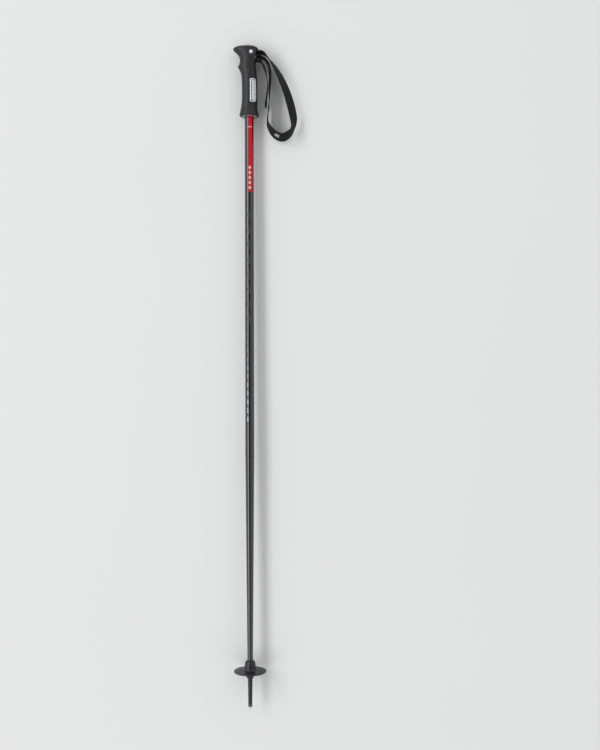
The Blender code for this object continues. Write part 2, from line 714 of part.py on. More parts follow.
# ================================================================ ferrule, tip and basket
def make_ferrule():
    """The moulded end of the pole: a cup over the tube, then a shank that holds the steel tip."""
    cup_floor = SHAFT_END_HEIGHT - TOUCH_GAP
    cup_top_inner = shaft_radius_at(FERRULE_TOP_HEIGHT) + TOUCH_GAP
    chamfer = 0.0030
    collar_top = TIP_LENGTH + TIP_COLLAR_LENGTH
    bore = TIP_RADIUS + TOUCH_GAP
    bore_top = TIP_LENGTH + TIP_SHANK_LENGTH + TOUCH_GAP
    turned(
        "ferrule",
        [
            (cup_top_inner, FERRULE_TOP_HEIGHT),
            (cup_top_inner + 0.0003, FERRULE_TOP_HEIGHT),
            (ferrule_outer, FERRULE_TOP_HEIGHT - chamfer),
            (ferrule_outer, FERRULE_SHOULDER_HEIGHT),
            (SHANK_TOP_RADIUS, FERRULE_SHOULDER_HEIGHT - 0.0010),
            (SHANK_END_RADIUS, collar_top + TOUCH_GAP),
            (bore, collar_top + TOUCH_GAP),
            (bore, bore_top),
            (0, bore_top),
            (0, cup_floor),
            (SHAFT_END_RADIUS + TOUCH_GAP, cup_floor),
        ],
        matt_black,
        closed=True,
    )
    turned(
        "tip_collar",
        [
            (SHANK_END_RADIUS, collar_top),
            (SHANK_END_RADIUS + 0.0001, TIP_LENGTH + 0.0006),
            (SHANK_END_RADIUS - 0.0005, TIP_LENGTH),
            (bore, TIP_LENGTH),
            (bore, collar_top),
        ],
        dark_metal,
        SMALL_STEPS,
        closed=True,
    )
    turned(
        "steel_tip",
        [
            (0, TIP_LENGTH + TIP_SHANK_LENGTH),
            (TIP_RADIUS - 0.0003, TIP_LENGTH + TIP_SHANK_LENGTH),
            (TIP_RADIUS, TIP_LENGTH + TIP_SHANK_LENGTH - 0.0003),
            (TIP_RADIUS, TIP_LENGTH - 0.0010),
            (TIP_END_RADIUS, 0),
            (0, 0),
        ],
        bright_metal,
        SMALL_STEPS,
    )


def make_basket():
    """The disc and its hub, in one moulding, with a slotted skirt that grips the ferrule."""
    top = BASKET_HEIGHT + BASKET_THICKNESS / 2
    under = BASKET_HEIGHT - BASKET_THICKNESS / 2
    hub = hub_bore + HUB_WALL
    dome_height = (HUB_TOP_HEIGHT - top) * 0.7
    dome = []
    for i in range(7):
        turn = math.radians(15 * i)
        swell = (HUB_WALL - HUB_LIP) * math.sin(turn)
        dome.append((hub_bore + HUB_LIP + swell, HUB_TOP_HEIGHT - dome_height * (1 - math.cos(turn))))
    basket = turned(
        "basket",
        [
            (hub_bore, HUB_TOP_HEIGHT),
            *dome,
            (hub + 0.0007, top + BASKET_DISH + 0.0014),
            (hub + 0.0024, top + BASKET_DISH),
            (BASKET_RADIUS - 0.0010, top),
            (BASKET_RADIUS, top - 0.0008),
            (BASKET_RADIUS, under + 0.0006),
            (BASKET_RADIUS - 0.0008, under),
            (hub, under + BASKET_DISH),
            (hub_bore + SKIRT_WALL + 0.0008, under + BASKET_DISH - 0.0018),
            (hub_bore + SKIRT_WALL, HUB_BOTTOM_HEIGHT),
            (hub_bore, HUB_BOTTOM_HEIGHT),
        ],
        matt_black,
        closed=True,
    )
    for i in range(SKIRT_SLOTS // 2):
        reach = BASKET_RADIUS
        slot = box(
            f"cut_skirt_{i}",
            (-reach, -SKIRT_SLOT_WIDTH / 2, HUB_BOTTOM_HEIGHT - 0.01),
            (reach, SKIRT_SLOT_WIDTH / 2, HUB_BOTTOM_HEIGHT + SKIRT_SLOT_HEIGHT),
        )
        slot.rotation_euler = (0, 0, 2 * math.pi * i / SKIRT_SLOTS)
        combine(basket, slot)


# ================================================================ the pole
clear_scene()
pole = new_collection("ski_pole")
cutters = new_collection("cutters")

lacquer = new_material("black_lacquer", (0.035, 0.035, 0.038), 0.28)
soft_rubber = new_material("soft_rubber", (0.040, 0.040, 0.045), 0.62)
hard_plastic = new_material("hard_plastic", (0.060, 0.060, 0.065), 0.45)
grey_plastic = new_material("grey_plastic", (0.260, 0.260, 0.270), 0.50)
matt_black = new_material("matt_black_plastic", (0.045, 0.045, 0.050), 0.55)
weave = new_material("woven_webbing", (0.018, 0.018, 0.020), 0.85)
bright_metal = new_material("bright_metal", (0.720, 0.730, 0.750), 0.25, 1.0)
dark_metal = new_material("dark_metal", (0.080, 0.080, 0.085), 0.40, 1.0)
dark_enamel = new_material("dark_enamel", (0.060, 0.065, 0.075), 0.35)

make_shaft()
make_grip()
make_badge()
make_housing()
make_strap_pin()
make_wedge()
make_strap()
make_ferrule()
make_basket()
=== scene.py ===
# %% [markdown]
# # Finishing an alpine ski pole
#
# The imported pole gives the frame: every solid at its true size, on the body that carries it. This lesson
# puts the finish on it. The turned parts keep their solids and get better shading and materials. The
# moulded grip, the badge, the webbing and the basket get finer meshes in the same places, and the printed
# marks are thin skins that follow the tube. Everything is in metres. +Z runs up the shaft, -X is the front
# of the grip, and -Y is the near side.

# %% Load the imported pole
import json
import math

import bmesh
import bpy
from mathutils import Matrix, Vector


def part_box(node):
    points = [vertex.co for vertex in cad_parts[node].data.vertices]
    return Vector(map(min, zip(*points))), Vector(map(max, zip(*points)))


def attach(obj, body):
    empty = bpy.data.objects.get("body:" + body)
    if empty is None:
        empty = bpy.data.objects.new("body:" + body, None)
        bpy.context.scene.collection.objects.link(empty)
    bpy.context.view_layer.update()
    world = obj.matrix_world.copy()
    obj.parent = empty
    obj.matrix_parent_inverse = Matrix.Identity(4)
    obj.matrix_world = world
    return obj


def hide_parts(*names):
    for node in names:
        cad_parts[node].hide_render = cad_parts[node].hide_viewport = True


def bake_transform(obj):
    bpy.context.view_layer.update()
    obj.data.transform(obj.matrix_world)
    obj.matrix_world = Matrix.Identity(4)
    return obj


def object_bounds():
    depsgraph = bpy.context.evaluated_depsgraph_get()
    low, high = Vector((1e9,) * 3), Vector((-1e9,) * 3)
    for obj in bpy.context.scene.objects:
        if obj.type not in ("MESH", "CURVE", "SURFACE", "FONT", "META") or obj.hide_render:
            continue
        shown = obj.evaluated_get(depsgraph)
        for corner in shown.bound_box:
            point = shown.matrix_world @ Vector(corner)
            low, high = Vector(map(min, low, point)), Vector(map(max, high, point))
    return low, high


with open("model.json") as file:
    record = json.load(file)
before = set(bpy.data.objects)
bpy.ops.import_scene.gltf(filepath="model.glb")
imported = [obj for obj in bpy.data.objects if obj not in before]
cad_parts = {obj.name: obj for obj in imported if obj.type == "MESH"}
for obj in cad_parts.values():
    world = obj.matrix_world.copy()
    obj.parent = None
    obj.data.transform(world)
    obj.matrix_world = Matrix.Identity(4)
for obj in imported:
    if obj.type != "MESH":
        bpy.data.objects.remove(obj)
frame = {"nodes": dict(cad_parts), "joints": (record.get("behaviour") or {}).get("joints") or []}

nodes = frame["nodes"]
packed_low, packed_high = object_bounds()
print("packed pole, mm:", [round(v * 1000, 1) for v in packed_high - packed_low], "nodes:", len(nodes))

# %% [markdown]
# ## Measures taken from the frame
#
# The places below are read from the solids' boxes and from the joints, so every new mesh sits where its
# solid sits. Only what a box can't tell, such as the grip's outline or the strap's route, is given further
# on as numbers.

# %% Read the places off the solids
TOUCH_GAP = 0.0003  # the room that neighbouring solids keep
pole_top = packed_high.z
collar_low, collar_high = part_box("grip_collar")
grip_bottom = collar_low.z
cap_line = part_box("grip_cap")[0].z - TOUCH_GAP
shaft_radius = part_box("shaft_tube")[1].x
shell_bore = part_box("grip_sleeve")[1].x + TOUCH_GAP
housing_low, housing_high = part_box("strap_housing")
pin_low, pin_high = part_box("strap_pin_barrel")
wedge_low, wedge_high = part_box("strap_wedge")
badge_low, badge_high = (corner.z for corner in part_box("badge_frame"))
hinges = {joint["name"]: Vector(joint["pos_m"]) for joint in frame["joints"] if "pos_m" in joint}
loop_hinge = hinges["strap_swing"]
tail_hinge = hinges["tail_swing"]
print("grip from", round(grip_bottom, 4), "to", round(pole_top, 4), "m, tube radius", round(shaft_radius, 5))

# %% [markdown]
# ## Building meshes in code
#
# A loft, a turned part and a swept strip are all rows of points joined row to row, so one helper makes the
# faces for all three. A printed mark or a badge bar is a thin plate on a curved surface. It is made in two
# directions that run from 0 to 1, and a small function says where each pair of shares lies on the surface.

# %% Rows of points, plates on a surface, and pieces
SHARP_CORNER = 35  # degrees: an edge sharper than this stays a corner
WELD = 1e-7
TOOL_SPARE = 0.01  # how far a cutting tool reaches out of what it cuts


def skin_rows(rows, joined_ends=False):
    """Points and faces of a closed skin over rows of points, each row a loop."""
    count = len(rows[0])
    points = [tuple(point) for row in rows for point in row]
    spans = [(i, i + 1) for i in range(len(rows) - 1)]
    if joined_ends:
        spans.append((len(rows) - 1, 0))
    faces = []
    for low, high in spans:
        for i in range(count):
            j = (i + 1) % count
            faces.append((low * count + i, low * count + j, high * count + j, high * count + i))
    if not joined_ends:
        faces.append(tuple(range(count)))
        faces.append(tuple(range((len(rows) - 1) * count, len(rows) * count)))
    return points, faces


def plate(spot, low, high, columns, rows, bevel=0.0, inset=(0.0, 0.0)):
    """Points and faces of a thin plate. spot(across, up, beyond) gives its places, and inset is its bevel."""

    def layer(beyond, side, end):
        acrosses = [side + (1 - 2 * side) * c / columns for c in range(columns + 1)]
        ups = [end + (1 - 2 * end) * r / rows for r in range(rows + 1)]
        return [tuple(spot(across, up, beyond)) for up in ups for across in acrosses]

    wide = columns + 1
    rim = list(range(columns))
    rim += [columns + r * wide for r in range(rows)]
    rim += [rows * wide + c for c in range(columns, 0, -1)]
    rim += [r * wide for r in range(rows, 0, -1)]
    under, over = layer(low, 0, 0), layer(high, *inset)
    shoulder = layer(high - bevel, 0, 0)
    points = under + over + [shoulder[i] for i in rim]
    grid = len(under)
    faces = []
    for r in range(rows):
        for c in range(columns):
            a = r * wide + c
            faces.append((a, a + wide, a + wide + 1, a + 1))
            faces.append((grid + a, grid + a + 1, grid + a + wide + 1, grid + a + wide))
    for i in range(len(rim)):
        j = (i + 1) % len(rim)
        faces.append((rim[i], rim[j], 2 * grid + j, 2 * grid + i))
        faces.append((2 * grid + i, 2 * grid + j, grid + rim[j], grid + rim[i]))
    return points, faces


def together(parts):
    """Several sets of points and faces as one."""
    points, faces = [], []
    for more_points, more_faces in parts:
        start = len(points)
        points += more_points
        faces += [tuple(start + i for i in face) for face in more_faces]
    return points, faces


def shade(mesh, corner=SHARP_CORNER):
    """Shades a mesh smooth, but keeps edges sharper than the corner angle."""
    mesh.shade_smooth()
    mesh.set_sharp_from_angle(angle=math.radians(corner))


def face_out(mesh, weld):
    """Turns a mesh's faces outwards, and joins points that lie on each other first if weld is true."""
    work = bmesh.new()
    work.from_mesh(mesh)
    if weld:
        bmesh.ops.remove_doubles(work, verts=work.verts, dist=WELD)
    bmesh.ops.recalc_face_normals(work, faces=work.faces)
    work.to_mesh(mesh)
    work.free()


def add_object(name, data):
    """A new object in the scene."""
    made = bpy.data.objects.new(name, data)
    bpy.context.scene.collection.objects.link(made)
    return made


def new_piece(name, shape, corner=SHARP_CORNER):
    """A closed mesh as an object, with its faces pointing out."""
    mesh = bpy.data.meshes.new(name)
    mesh.from_pydata(shape[0], [], shape[1])
    face_out(mesh, weld=True)
    shade(mesh, corner)
    return add_object(name, mesh)


def cut(piece, tools):
    """Cuts the tools out of a piece, and removes them."""
    for tool in tools:
        modifier = piece.modifiers.new(tool.name, "BOOLEAN")
        modifier.object = tool
        modifier.operation = "DIFFERENCE"
    graph = bpy.context.evaluated_depsgraph_get()
    done = bpy.data.meshes.new_from_object(piece.evaluated_get(graph))
    piece.modifiers.clear()
    piece.data = done
    done.materials.clear()
    shade(done)
    for tool in tools:
        bpy.data.objects.remove(tool)


def finish_piece(piece, finish):
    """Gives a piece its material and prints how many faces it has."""
    piece.data.materials.append(finish)
    print(piece.name, "faces:", len(piece.data.polygons))


def box_tool(low, high):
    """A plain box, used only to cut with."""
    round_it = ((low[0], low[1]), (high[0], low[1]), (high[0], high[1]), (low[0], high[1]))
    return new_piece("cut_box", skin_rows([[(x, y, z) for x, y in round_it] for z in (low[2], high[2])]))


def round_tool(radius, start, end, steps=96):
    """A plain cylinder between two points, used only to cut with."""
    along = Vector(end) - Vector(start)
    turn = along.to_track_quat("Z", "Y")
    circle = [turn @ Vector((radius * math.cos(a), radius * math.sin(a), 0)) for a in even_turns(steps)]
    return new_piece("cut_round", skin_rows([[Vector(at) + p for p in circle] for at in (start, end)]))


def even_turns(steps):
    """Angles that divide a full turn evenly."""
    return [2 * math.pi * i / steps for i in range(steps)]


# %% [markdown]
# ## Writing materials as sums
#
# A material's varying part is arithmetic on patterns: noise times a mask, plus a base value. Blender does
# each step with a node, which is long to write out, so a small class wraps an output socket and lets
# Python's own operators add the Math nodes. The mixer that owns the sockets has one method for every other
# kind of node. A finish is the mixer of a material.

# %% A socket that does sums, and the mixers that own it
class Wire:
    """An output socket. Using it in a sum adds the Math node."""

    def __init__(self, mixer, socket):
        self.mixer = mixer
        self.socket = socket

    def maths(self, operation, first, second=0.0):
        """The Math node behind every operator."""
        return self.mixer.node("Math", {"operation": operation}, {0: first, 1: second})

    def __add__(self, other):
        return self.maths("ADD", self, other)

    def __sub__(self, other):
        return self.maths("SUBTRACT", self, other)

    def __mul__(self, other):
        return self.maths("MULTIPLY", self, other)

    def __abs__(self):
        return self.maths("ABSOLUTE", self)

    __radd__ = __add__
    __rmul__ = __mul__


class Mixer:
    """Adds nodes to the tree of a material or of the world."""

    def __init__(self, owner):
        owner.use_nodes = True
        self.tree = owner.node_tree

    def feed(self, node, values):
        """Sets or links the sockets of a node."""
        for name, value in values.items():
            socket = node.inputs[name]
            if isinstance(value, Wire):
                self.tree.links.new(value.socket, socket)
            elif isinstance(value, tuple) and socket.type == "RGBA":
                socket.default_value = (*value, 1.0)
            else:
                socket.default_value = value

    def node(self, kind, settings, values, out=0):
        """Adds a shader node: its settings first, then its sockets. Gives one of its outputs."""
        made = self.tree.nodes.new("ShaderNode" + kind)
        for name, value in settings.items():
            setattr(made, name, value)
        self.feed(made, values)
        return Wire(self, made.outputs[out])

    def ramp(self, value, low, high, start=0.0, end=1.0):
        """start below low, end above high, and a smooth change between. low may lie above high."""
        values = {"Value": value, "From Min": low, "From Max": high, "To Min": start, "To Max": end}
        return self.node("MapRange", {"interpolation_type": "SMOOTHSTEP"}, values)


class Finish(Mixer):
    """A material being mixed. Values that are the same all over are given first, for the shader's sockets."""

    def __init__(self, name, constants):
        self.material = bpy.data.materials.new(name)
        super().__init__(self.material)
        self.shader = self.tree.nodes["Principled BSDF"]
        self.feed(self.shader, constants)

    def varies(self, values):
        """Links what changes over the surface to the shader."""
        self.feed(self.shader, values)
        return self.material

    def place(self):
        """The place on the piece, in metres."""
        return self.node("TexCoord", {}, {}, "Object")

    def axis(self, letter):
        """One coordinate of the place."""
        return self.node("SeparateXYZ", {}, {"Vector": self.place()}, letter)

    def measure(self, name):
        """A measure that the mesh carries at its points."""
        return self.node("Attribute", {"attribute_name": name}, {}, "Fac")

    def noise(self, size, detail=2.0, stretch=(1, 1, 1)):
        """Soft noise from 0 to 1 with patches of about this size, longer where stretch is above 1."""
        scale = tuple(1 / (size * s) for s in stretch)
        where = self.node("Mapping", {}, {"Vector": self.place(), "Scale": scale})
        return self.node("TexNoise", {}, {"Vector": where, "Scale": 1.0, "Detail": detail})

    def cells(self, size):
        """Distance to the nearest of many scattered points, in units of their spacing."""
        return self.node("TexVoronoi", {}, {"Vector": self.place(), "Scale": 1 / size})

    def blend(self, share, first, second):
        """A colour between two, by share."""
        return self.node("Mix", {"data_type": "RGBA"}, {0: share, 6: first, 7: second}, 2)

    def bump(self, height, distance):
        """Relief from a height of 0 to 1, as deep as distance."""
        return self.node("Bump", {}, {"Height": height, "Distance": distance, "Strength": 1.0})


# %% [markdown]
# ## Lacquered tube and its prints
#
# The tube is aluminium under a glossy black lacquer, so it mirrors the lamp as one narrow bright line. Real
# lacquer is never perfect: there are hairline scratches along the tube, a little dust, and scuffs near the
# basket where snow and boot edges rub. The inks of the prints are duller than the lacquer, but they show
# the same scratches.

# %% The lacquer and the inks
DASH_LOW = 0.526  # height of the lowest silver dash
DASH_HIGH = 0.695
SCUFF_TOP = 0.20
SCUFF_FULL = 0.075
INK_SPENT = (0.010, 0.010, 0.011)
INK_SILVER = (0.34, 0.35, 0.37)


def coated(name, colour, colour_worn, roughness, gloss, coat=0.0):
    """Lacquer or ink on the tube. gloss is how strongly it mirrors: 1 is twice as strong as plain plastic."""
    mix = Finish(name, {"Specular IOR Level": gloss, "Coat Roughness": 0.05, "Coat Weight": coat})
    hairlines = mix.ramp(mix.noise(0.00035, 2, (1, 1, 90)), 0.62, 0.74)
    clouds = mix.noise(0.018, 3)
    low_down = mix.ramp(mix.axis("Z"), SCUFF_TOP, SCUFF_FULL)
    scuffed = low_down * mix.ramp(mix.noise(0.0016, 4, (1, 1, 3)), 0.52, 0.66)
    worn = hairlines * 0.25 + clouds * 0.35 + scuffed * 0.8
    grain = mix.noise(0.0009, 2) * 0.5 + hairlines * 0.4
    return mix.varies(
        {
            "Base Color": mix.blend(worn, colour, colour_worn),
            "Roughness": roughness + clouds * 0.07 + hairlines * 0.12 + scuffed * 0.2,
            "Normal": mix.bump(grain, 0.000012),
        }
    )


def dash_silver():
    """Silver ink, brighter and more metallic at the lowest dash and dimmer up the tube."""
    mix = Finish("silver_ink", {"Coat Roughness": 0.09, "Coat Weight": 0.6})
    # share of silver: most at the lowest dash, less towards the top of the row
    tone_shift = mix.ramp(mix.axis("Z"), DASH_HIGH + 0.02, DASH_LOW) * 0.75 + 0.2
    flakes = mix.cells(0.00022)
    laid = tone_shift * (0.8 + mix.noise(0.0007, 2) * 0.3)
    return mix.varies(
        {
            "Base Color": mix.blend(laid, INK_SPENT, INK_SILVER),
            "Metallic": laid * 0.5,
            "Roughness": 0.32 + flakes * 0.12,
            "Normal": mix.bump(flakes, 0.00002),
        }
    )


black_lacquer = coated("black_lacquer", (0.005, 0.005, 0.006), (0.013, 0.013, 0.015), 0.15, 0.85, 0.05)
red_ink = coated("red_ink", (0.56, 0.003, 0.020), (0.48, 0.004, 0.020), 0.42, 0.15)
pale_ink = coated("pale_ink", (0.86, 0.45, 0.45), (0.78, 0.36, 0.36), 0.42, 0.25)
ghost_ink = coated("ghost_ink", (0.016, 0.016, 0.018), (0.028, 0.028, 0.031), 0.34, 0.7)
silver_ink = dash_silver()
print("lacquer and inks mixed")

# %% [markdown]
# ## Moulded plastics and rubber
#
# The grip is a soft rubber moulded in a spark-eroded tool, which leaves a fine, even grain, and a faint
# parting line where the two halves of the tool met. Hard nylon is smoother and shows flow marks. Both catch
# light only softly, so most of what the eye reads is roughness and fine relief, not colour.

# %% Rubber, nylon and acetal
def moulded(name, shades, roughness, grain_size, grain_depth, spec=0.5, seam=0.0, wear_high=None):
    """A moulding with tool grain, a little mottling, rubbed patches, and maybe a parting line at y = 0."""
    mix = Finish(name, {"Specular IOR Level": spec})
    grain = mix.cells(grain_size)
    mottle = mix.noise(0.006, 4)
    rubbed = mix.ramp(mix.noise(0.011, 5), 0.56, 0.74)
    lint = mix.ramp(mix.noise(0.0006, 2, (1, 1, 5)), 0.70, 0.78)
    height = grain * 0.8 + mix.noise(grain_size * 5, 3) * 0.5
    if seam:
        height = height + mix.ramp(abs(mix.axis("Y")), seam, 0.0) * 1.6
    if wear_high is not None:
        rubbed = rubbed * 0.6 + mix.ramp(mix.axis("Z"), wear_high - 0.012, wear_high) * 0.35
    return mix.varies(
        {
            "Base Color": mix.blend(mottle * 0.5 + rubbed * 0.3 + lint * 0.35, *shades),
            "Roughness": roughness + grain * 0.12 - rubbed * 0.10,
            "Normal": mix.bump(height, grain_depth),
        }
    )


RUBBER = ((0.008, 0.008, 0.0095), (0.016, 0.016, 0.0185))
DARK_NYLON = ((0.009, 0.009, 0.011), (0.022, 0.022, 0.026))
GREY_NYLON = ((0.050, 0.050, 0.055), (0.085, 0.085, 0.090))
RING_GREY = ((0.26, 0.26, 0.27), (0.34, 0.34, 0.35))
ACETAL = ((0.09, 0.09, 0.10), (0.13, 0.13, 0.14))
soft_rubber = moulded("soft_rubber", RUBBER, 0.42, 0.0004, 0.00005, 0.42, 0.00018, pole_top)
hard_nylon = moulded("hard_nylon", GREY_NYLON, 0.44, 0.0007, 0.00002)
lower_nylon = moulded("lower_nylon", DARK_NYLON, 0.28, 0.0005, 0.00003, 0.42)
ring_plastic = moulded("ring_plastic", RING_GREY, 0.44, 0.0006, 0.00002)
wedge_acetal = moulded("wedge_acetal", ACETAL, 0.38, 0.0008, 0.00001)
print("mouldings mixed")

# %% [markdown]
# ## Metals and enamel
#
# Turned steel keeps the rings of the cutting tool, rolled aluminium keeps straight brush lines, and
# hardened steel at the tip is scratched by stones. The badge's field is a filled enamel: nearly smooth,
# with a slight orange peel.

# %% Steel, aluminium and enamel
def metal(name, colour, colour_dull, roughness, stretch, depth, metallic=1.0):
    """A metal with brush lines that run along the stretched direction."""
    mix = Finish(name, {"Metallic": metallic})
    lines = mix.noise(0.0003, 3, stretch)
    tarnish = mix.noise(0.0025, 4)
    return mix.varies(
        {
            "Base Color": mix.blend(tarnish * 0.7 + lines * 0.3, colour, colour_dull),
            "Roughness": roughness + lines * 0.14 + tarnish * 0.10,
            "Normal": mix.bump(lines, depth),
        }
    )


def enamel(name, colour, colour_light):
    """A filled, polished enamel."""
    mix = Finish(name, {"Coat Weight": 0.6, "Coat Roughness": 0.08})
    peel = mix.noise(0.0012, 2)
    specks = mix.ramp(mix.noise(0.0003, 2), 0.68, 0.76)
    return mix.varies(
        {
            "Base Color": mix.blend(peel * 0.4 + specks * 0.6, colour, colour_light),
            "Roughness": 0.26 + peel * 0.12,
            "Normal": mix.bump(peel, 0.00002),
        }
    )


pin_steel = metal("pin_steel", (0.86, 0.87, 0.89), (0.72, 0.73, 0.75), 0.26, (1, 8, 1), 0.00001, 0.6)
badge_aluminium = metal(
    "badge_aluminium", (0.94, 0.94, 0.95), (0.86, 0.86, 0.88), 0.32, (6, 6, 1), 0.00001, 0.25
)
tip_steel = metal("tip_steel", (0.78, 0.78, 0.80), (0.54, 0.54, 0.56), 0.24, (1, 1, 7), 0.00003)
black_steel = metal("black_steel", (0.085, 0.085, 0.090), (0.16, 0.155, 0.15), 0.36, (1, 1, 4), 0.00002)
badge_enamel = enamel("badge_enamel", (0.010, 0.010, 0.012), (0.030, 0.031, 0.035))
print("metals mixed")

# %% [markdown]
# ## Webbing and thread
#
# Pole straps are flat polyester webbing woven tight: weft ribs run across every 1.2 mm, and warp ends lie
# side by side in a narrow herringbone. The ribs are in the mesh. The herringbone is finer than the mesh, so
# it is in the material, drawn from two measures that the strip carries: how far along it is and how far
# across, in metres.

# %% The weave and the thread
RIB_PITCH = 0.0012
WARP_PITCH = 0.00055


def woven(name, colour, colour_light):
    """Tight webbing, drawn from the along and across measures of its strip."""
    mix = Finish(name, {"Sheen Weight": 0.04, "Sheen Roughness": 0.4, "Specular IOR Level": 0.18})
    along, across = mix.measure("along"), mix.measure("across")
    band = mix.node("Math", {"operation": "PINGPONG"}, {0: across, 1: 0.0022})
    warp = mix.node("Math", {"operation": "SINE"}, {0: across * (2 * math.pi / WARP_PITCH)})
    twill_run = (along + band * 0.8) * (2 * math.pi / RIB_PITCH)
    twill = mix.node("Math", {"operation": "SINE"}, {0: twill_run})
    height = 0.5 + warp * 0.2 + twill * 0.3
    fuzz = mix.ramp(mix.noise(0.0003, 3), 0.55, 0.75)
    tone_shift = mix.noise(0.009, 3)
    return mix.varies(
        {
            "Base Color": mix.blend(height * 0.35 + fuzz * 0.25 + tone_shift * 0.35, colour, colour_light),
            "Roughness": 0.74 + fuzz * 0.15,
            "Normal": mix.bump(height + fuzz * 0.3, 0.00012),
        }
    )


def twisted_thread(name, colour, colour_light):
    """Sewing thread, with the twist as slanting lines."""
    mix = Finish(name, {"Sheen Weight": 0.3, "Specular IOR Level": 0.4})
    run = mix.axis("Z") + mix.axis("X") * 0.7 + mix.axis("Y") * 0.7
    twist = mix.node("Math", {"operation": "SINE"}, {0: run * (2 * math.pi / 0.0004)})
    return mix.varies(
        {
            "Base Color": mix.blend(twist * 0.3 + 0.4, colour, colour_light),
            "Roughness": 0.6 + mix.noise(0.0005) * 0.1,
            "Normal": mix.bump(twist, 0.00004),
        }
    )


def flocked_ink(name, colour, colour_light):
    """Rubbery ink printed on webbing, which shows the ribs through."""
    mix = Finish(name, {"Specular IOR Level": 0.4})
    worn = mix.ramp(mix.noise(0.0005, 4), 0.5, 0.7)
    return mix.varies(
        {
            "Base Color": mix.blend(worn, colour, colour_light),
            "Roughness": 0.5 + worn * 0.2,
            "Normal": mix.bump(mix.noise(0.0004, 3), 0.00005),
        }
    )


strap_weave = woven("strap_weave", (0.004, 0.004, 0.0046), (0.014, 0.014, 0.016))
hem_thread = twisted_thread("hem_thread", (0.030, 0.030, 0.034), (0.075, 0.075, 0.080))
strap_ink = flocked_ink("strap_ink", (0.62, 0.63, 0.66), (0.36, 0.37, 0.40))
print("weave mixed")

# %% [markdown]
# ## Nodes that keep their solids
#
# The tube, sleeve, ring, housing, pins, wedge, ferrule, collar and tip are right as they are. Their solids
# arrive as loose triangles with flat shading, which would show as facets on every round part. A short
# geometry node tree welds them and shades them smooth, with sharp edges kept at the corners. The vertices
# themselves stay untouched.

# %% Weld and smooth the kept nodes
def soft_shading():
    """The geometry nodes that weld a mesh and shade it smooth between its corners."""
    group = bpy.data.node_groups.new("soft_shading", "GeometryNodeTree")
    for direction in ("INPUT", "OUTPUT"):
        group.interface.new_socket("Geometry", in_out=direction, socket_type="NodeSocketGeometry")
    enter = group.nodes.new("NodeGroupInput")
    weld = group.nodes.new("GeometryNodeMergeByDistance")
    weld.inputs["Distance"].default_value = 1e-6
    angle = group.nodes.new("GeometryNodeInputMeshEdgeAngle")
    corner = group.nodes.new("FunctionNodeCompare")
    corner.operation = "GREATER_THAN"
    corner.inputs["B"].default_value = math.radians(32)
    normals = group.nodes.new("GeometryNodeSetMeshNormal")
    leave = group.nodes.new("NodeGroupOutput")
    group.links.new(enter.outputs["Geometry"], weld.inputs["Geometry"])
    group.links.new(weld.outputs["Geometry"], normals.inputs["Mesh"])
    group.links.new(angle.outputs["Unsigned Angle"], corner.inputs["A"])
    group.links.new(corner.outputs["Result"], normals.inputs["Edge Sharpness"])
    group.links.new(normals.outputs["Mesh"], leave.inputs["Geometry"])
    return group


KEPT = {
    "shaft_tube": black_lacquer,
    "tube_plug": hard_nylon,
    "grip_sleeve": hard_nylon,
    "grip_collar": ring_plastic,
    "strap_housing": hard_nylon,
    "strap_pin_barrel": pin_steel,
    "strap_pin_screw": pin_steel,
    "strap_wedge": wedge_acetal,
    "ferrule": lower_nylon,
    "tip_collar": black_steel,
    "steel_tip": tip_steel,
}
softener = soft_shading()
for name, finish in KEPT.items():
    nodes[name].modifiers.new("soft_shading", "NODES").node_group = softener
    for place in nodes[name].material_slots:
        place.material = finish
print("kept nodes:", len(KEPT))

# %% [markdown]
# ## The grip's form
#
# The rubber swells at the head, hooks forward into a beak, has one ledge for the first finger, narrows at
# the waist and flares into a foot. Such a form is a stack of cross-sections. Each row below gives the depth
# under the top, how far the rubber reaches beyond the sleeve in front, behind and to each side, and how
# square its rear is, from 2 for an ellipse. The reaches between the rows come from a smooth cubic.

# %% The outline, and any point on the skin
GRIP_ROWS = (
    (0.1276, 0.0054, 0.0055, 0.0050, 2.2),
    (0.1266, 0.0069, 0.0069, 0.0062, 2.2),
    (0.1248, 0.0074, 0.0074, 0.0066, 2.2),
    (0.1215, 0.0068, 0.0064, 0.0056, 2.2),
    (0.1106, 0.0046, 0.0044, 0.0033, 2.2),
    (0.0962, 0.0031, 0.0050, 0.0029, 2.3),
    (0.0758, 0.0030, 0.0049, 0.0029, 2.3),
    (0.0553, 0.0038, 0.0040, 0.0030, 2.3),
    (0.0465, 0.0058, 0.0031, 0.0032, 2.4),
    (0.0381, 0.0098, 0.0020, 0.0038, 2.6),
    (0.0330, 0.0077, 0.0014, 0.0042, 2.8),
    (0.0285, 0.0067, 0.0017, 0.00445, 3.2),
    (0.0245, 0.0067, 0.0020, 0.00495, 3.6),
    (0.0193, 0.0080, 0.0026, 0.00495, 3.8),
    (0.0137, 0.0121, 0.0036, 0.00515, 3.8),
    (0.0096, 0.0169, 0.0053, 0.00535, 3.6),
    (0.0059, 0.0187, 0.0061, 0.00515, 3.2),
    (0.0030, 0.0162, 0.0026, 0.00315, 2.8),
    (0.0010, 0.0110, -0.0030, -0.00085, 2.6),
    (0.0, 0.0050, -0.0075, -0.00505, 2.4),
)
FRONT_SQUARE = 2.1
GRIP_TURNS = 160
TURN_STEP = 0.02  # radians to each side, to find which way the skin faces
BEAK_DEPTH = 0.0096


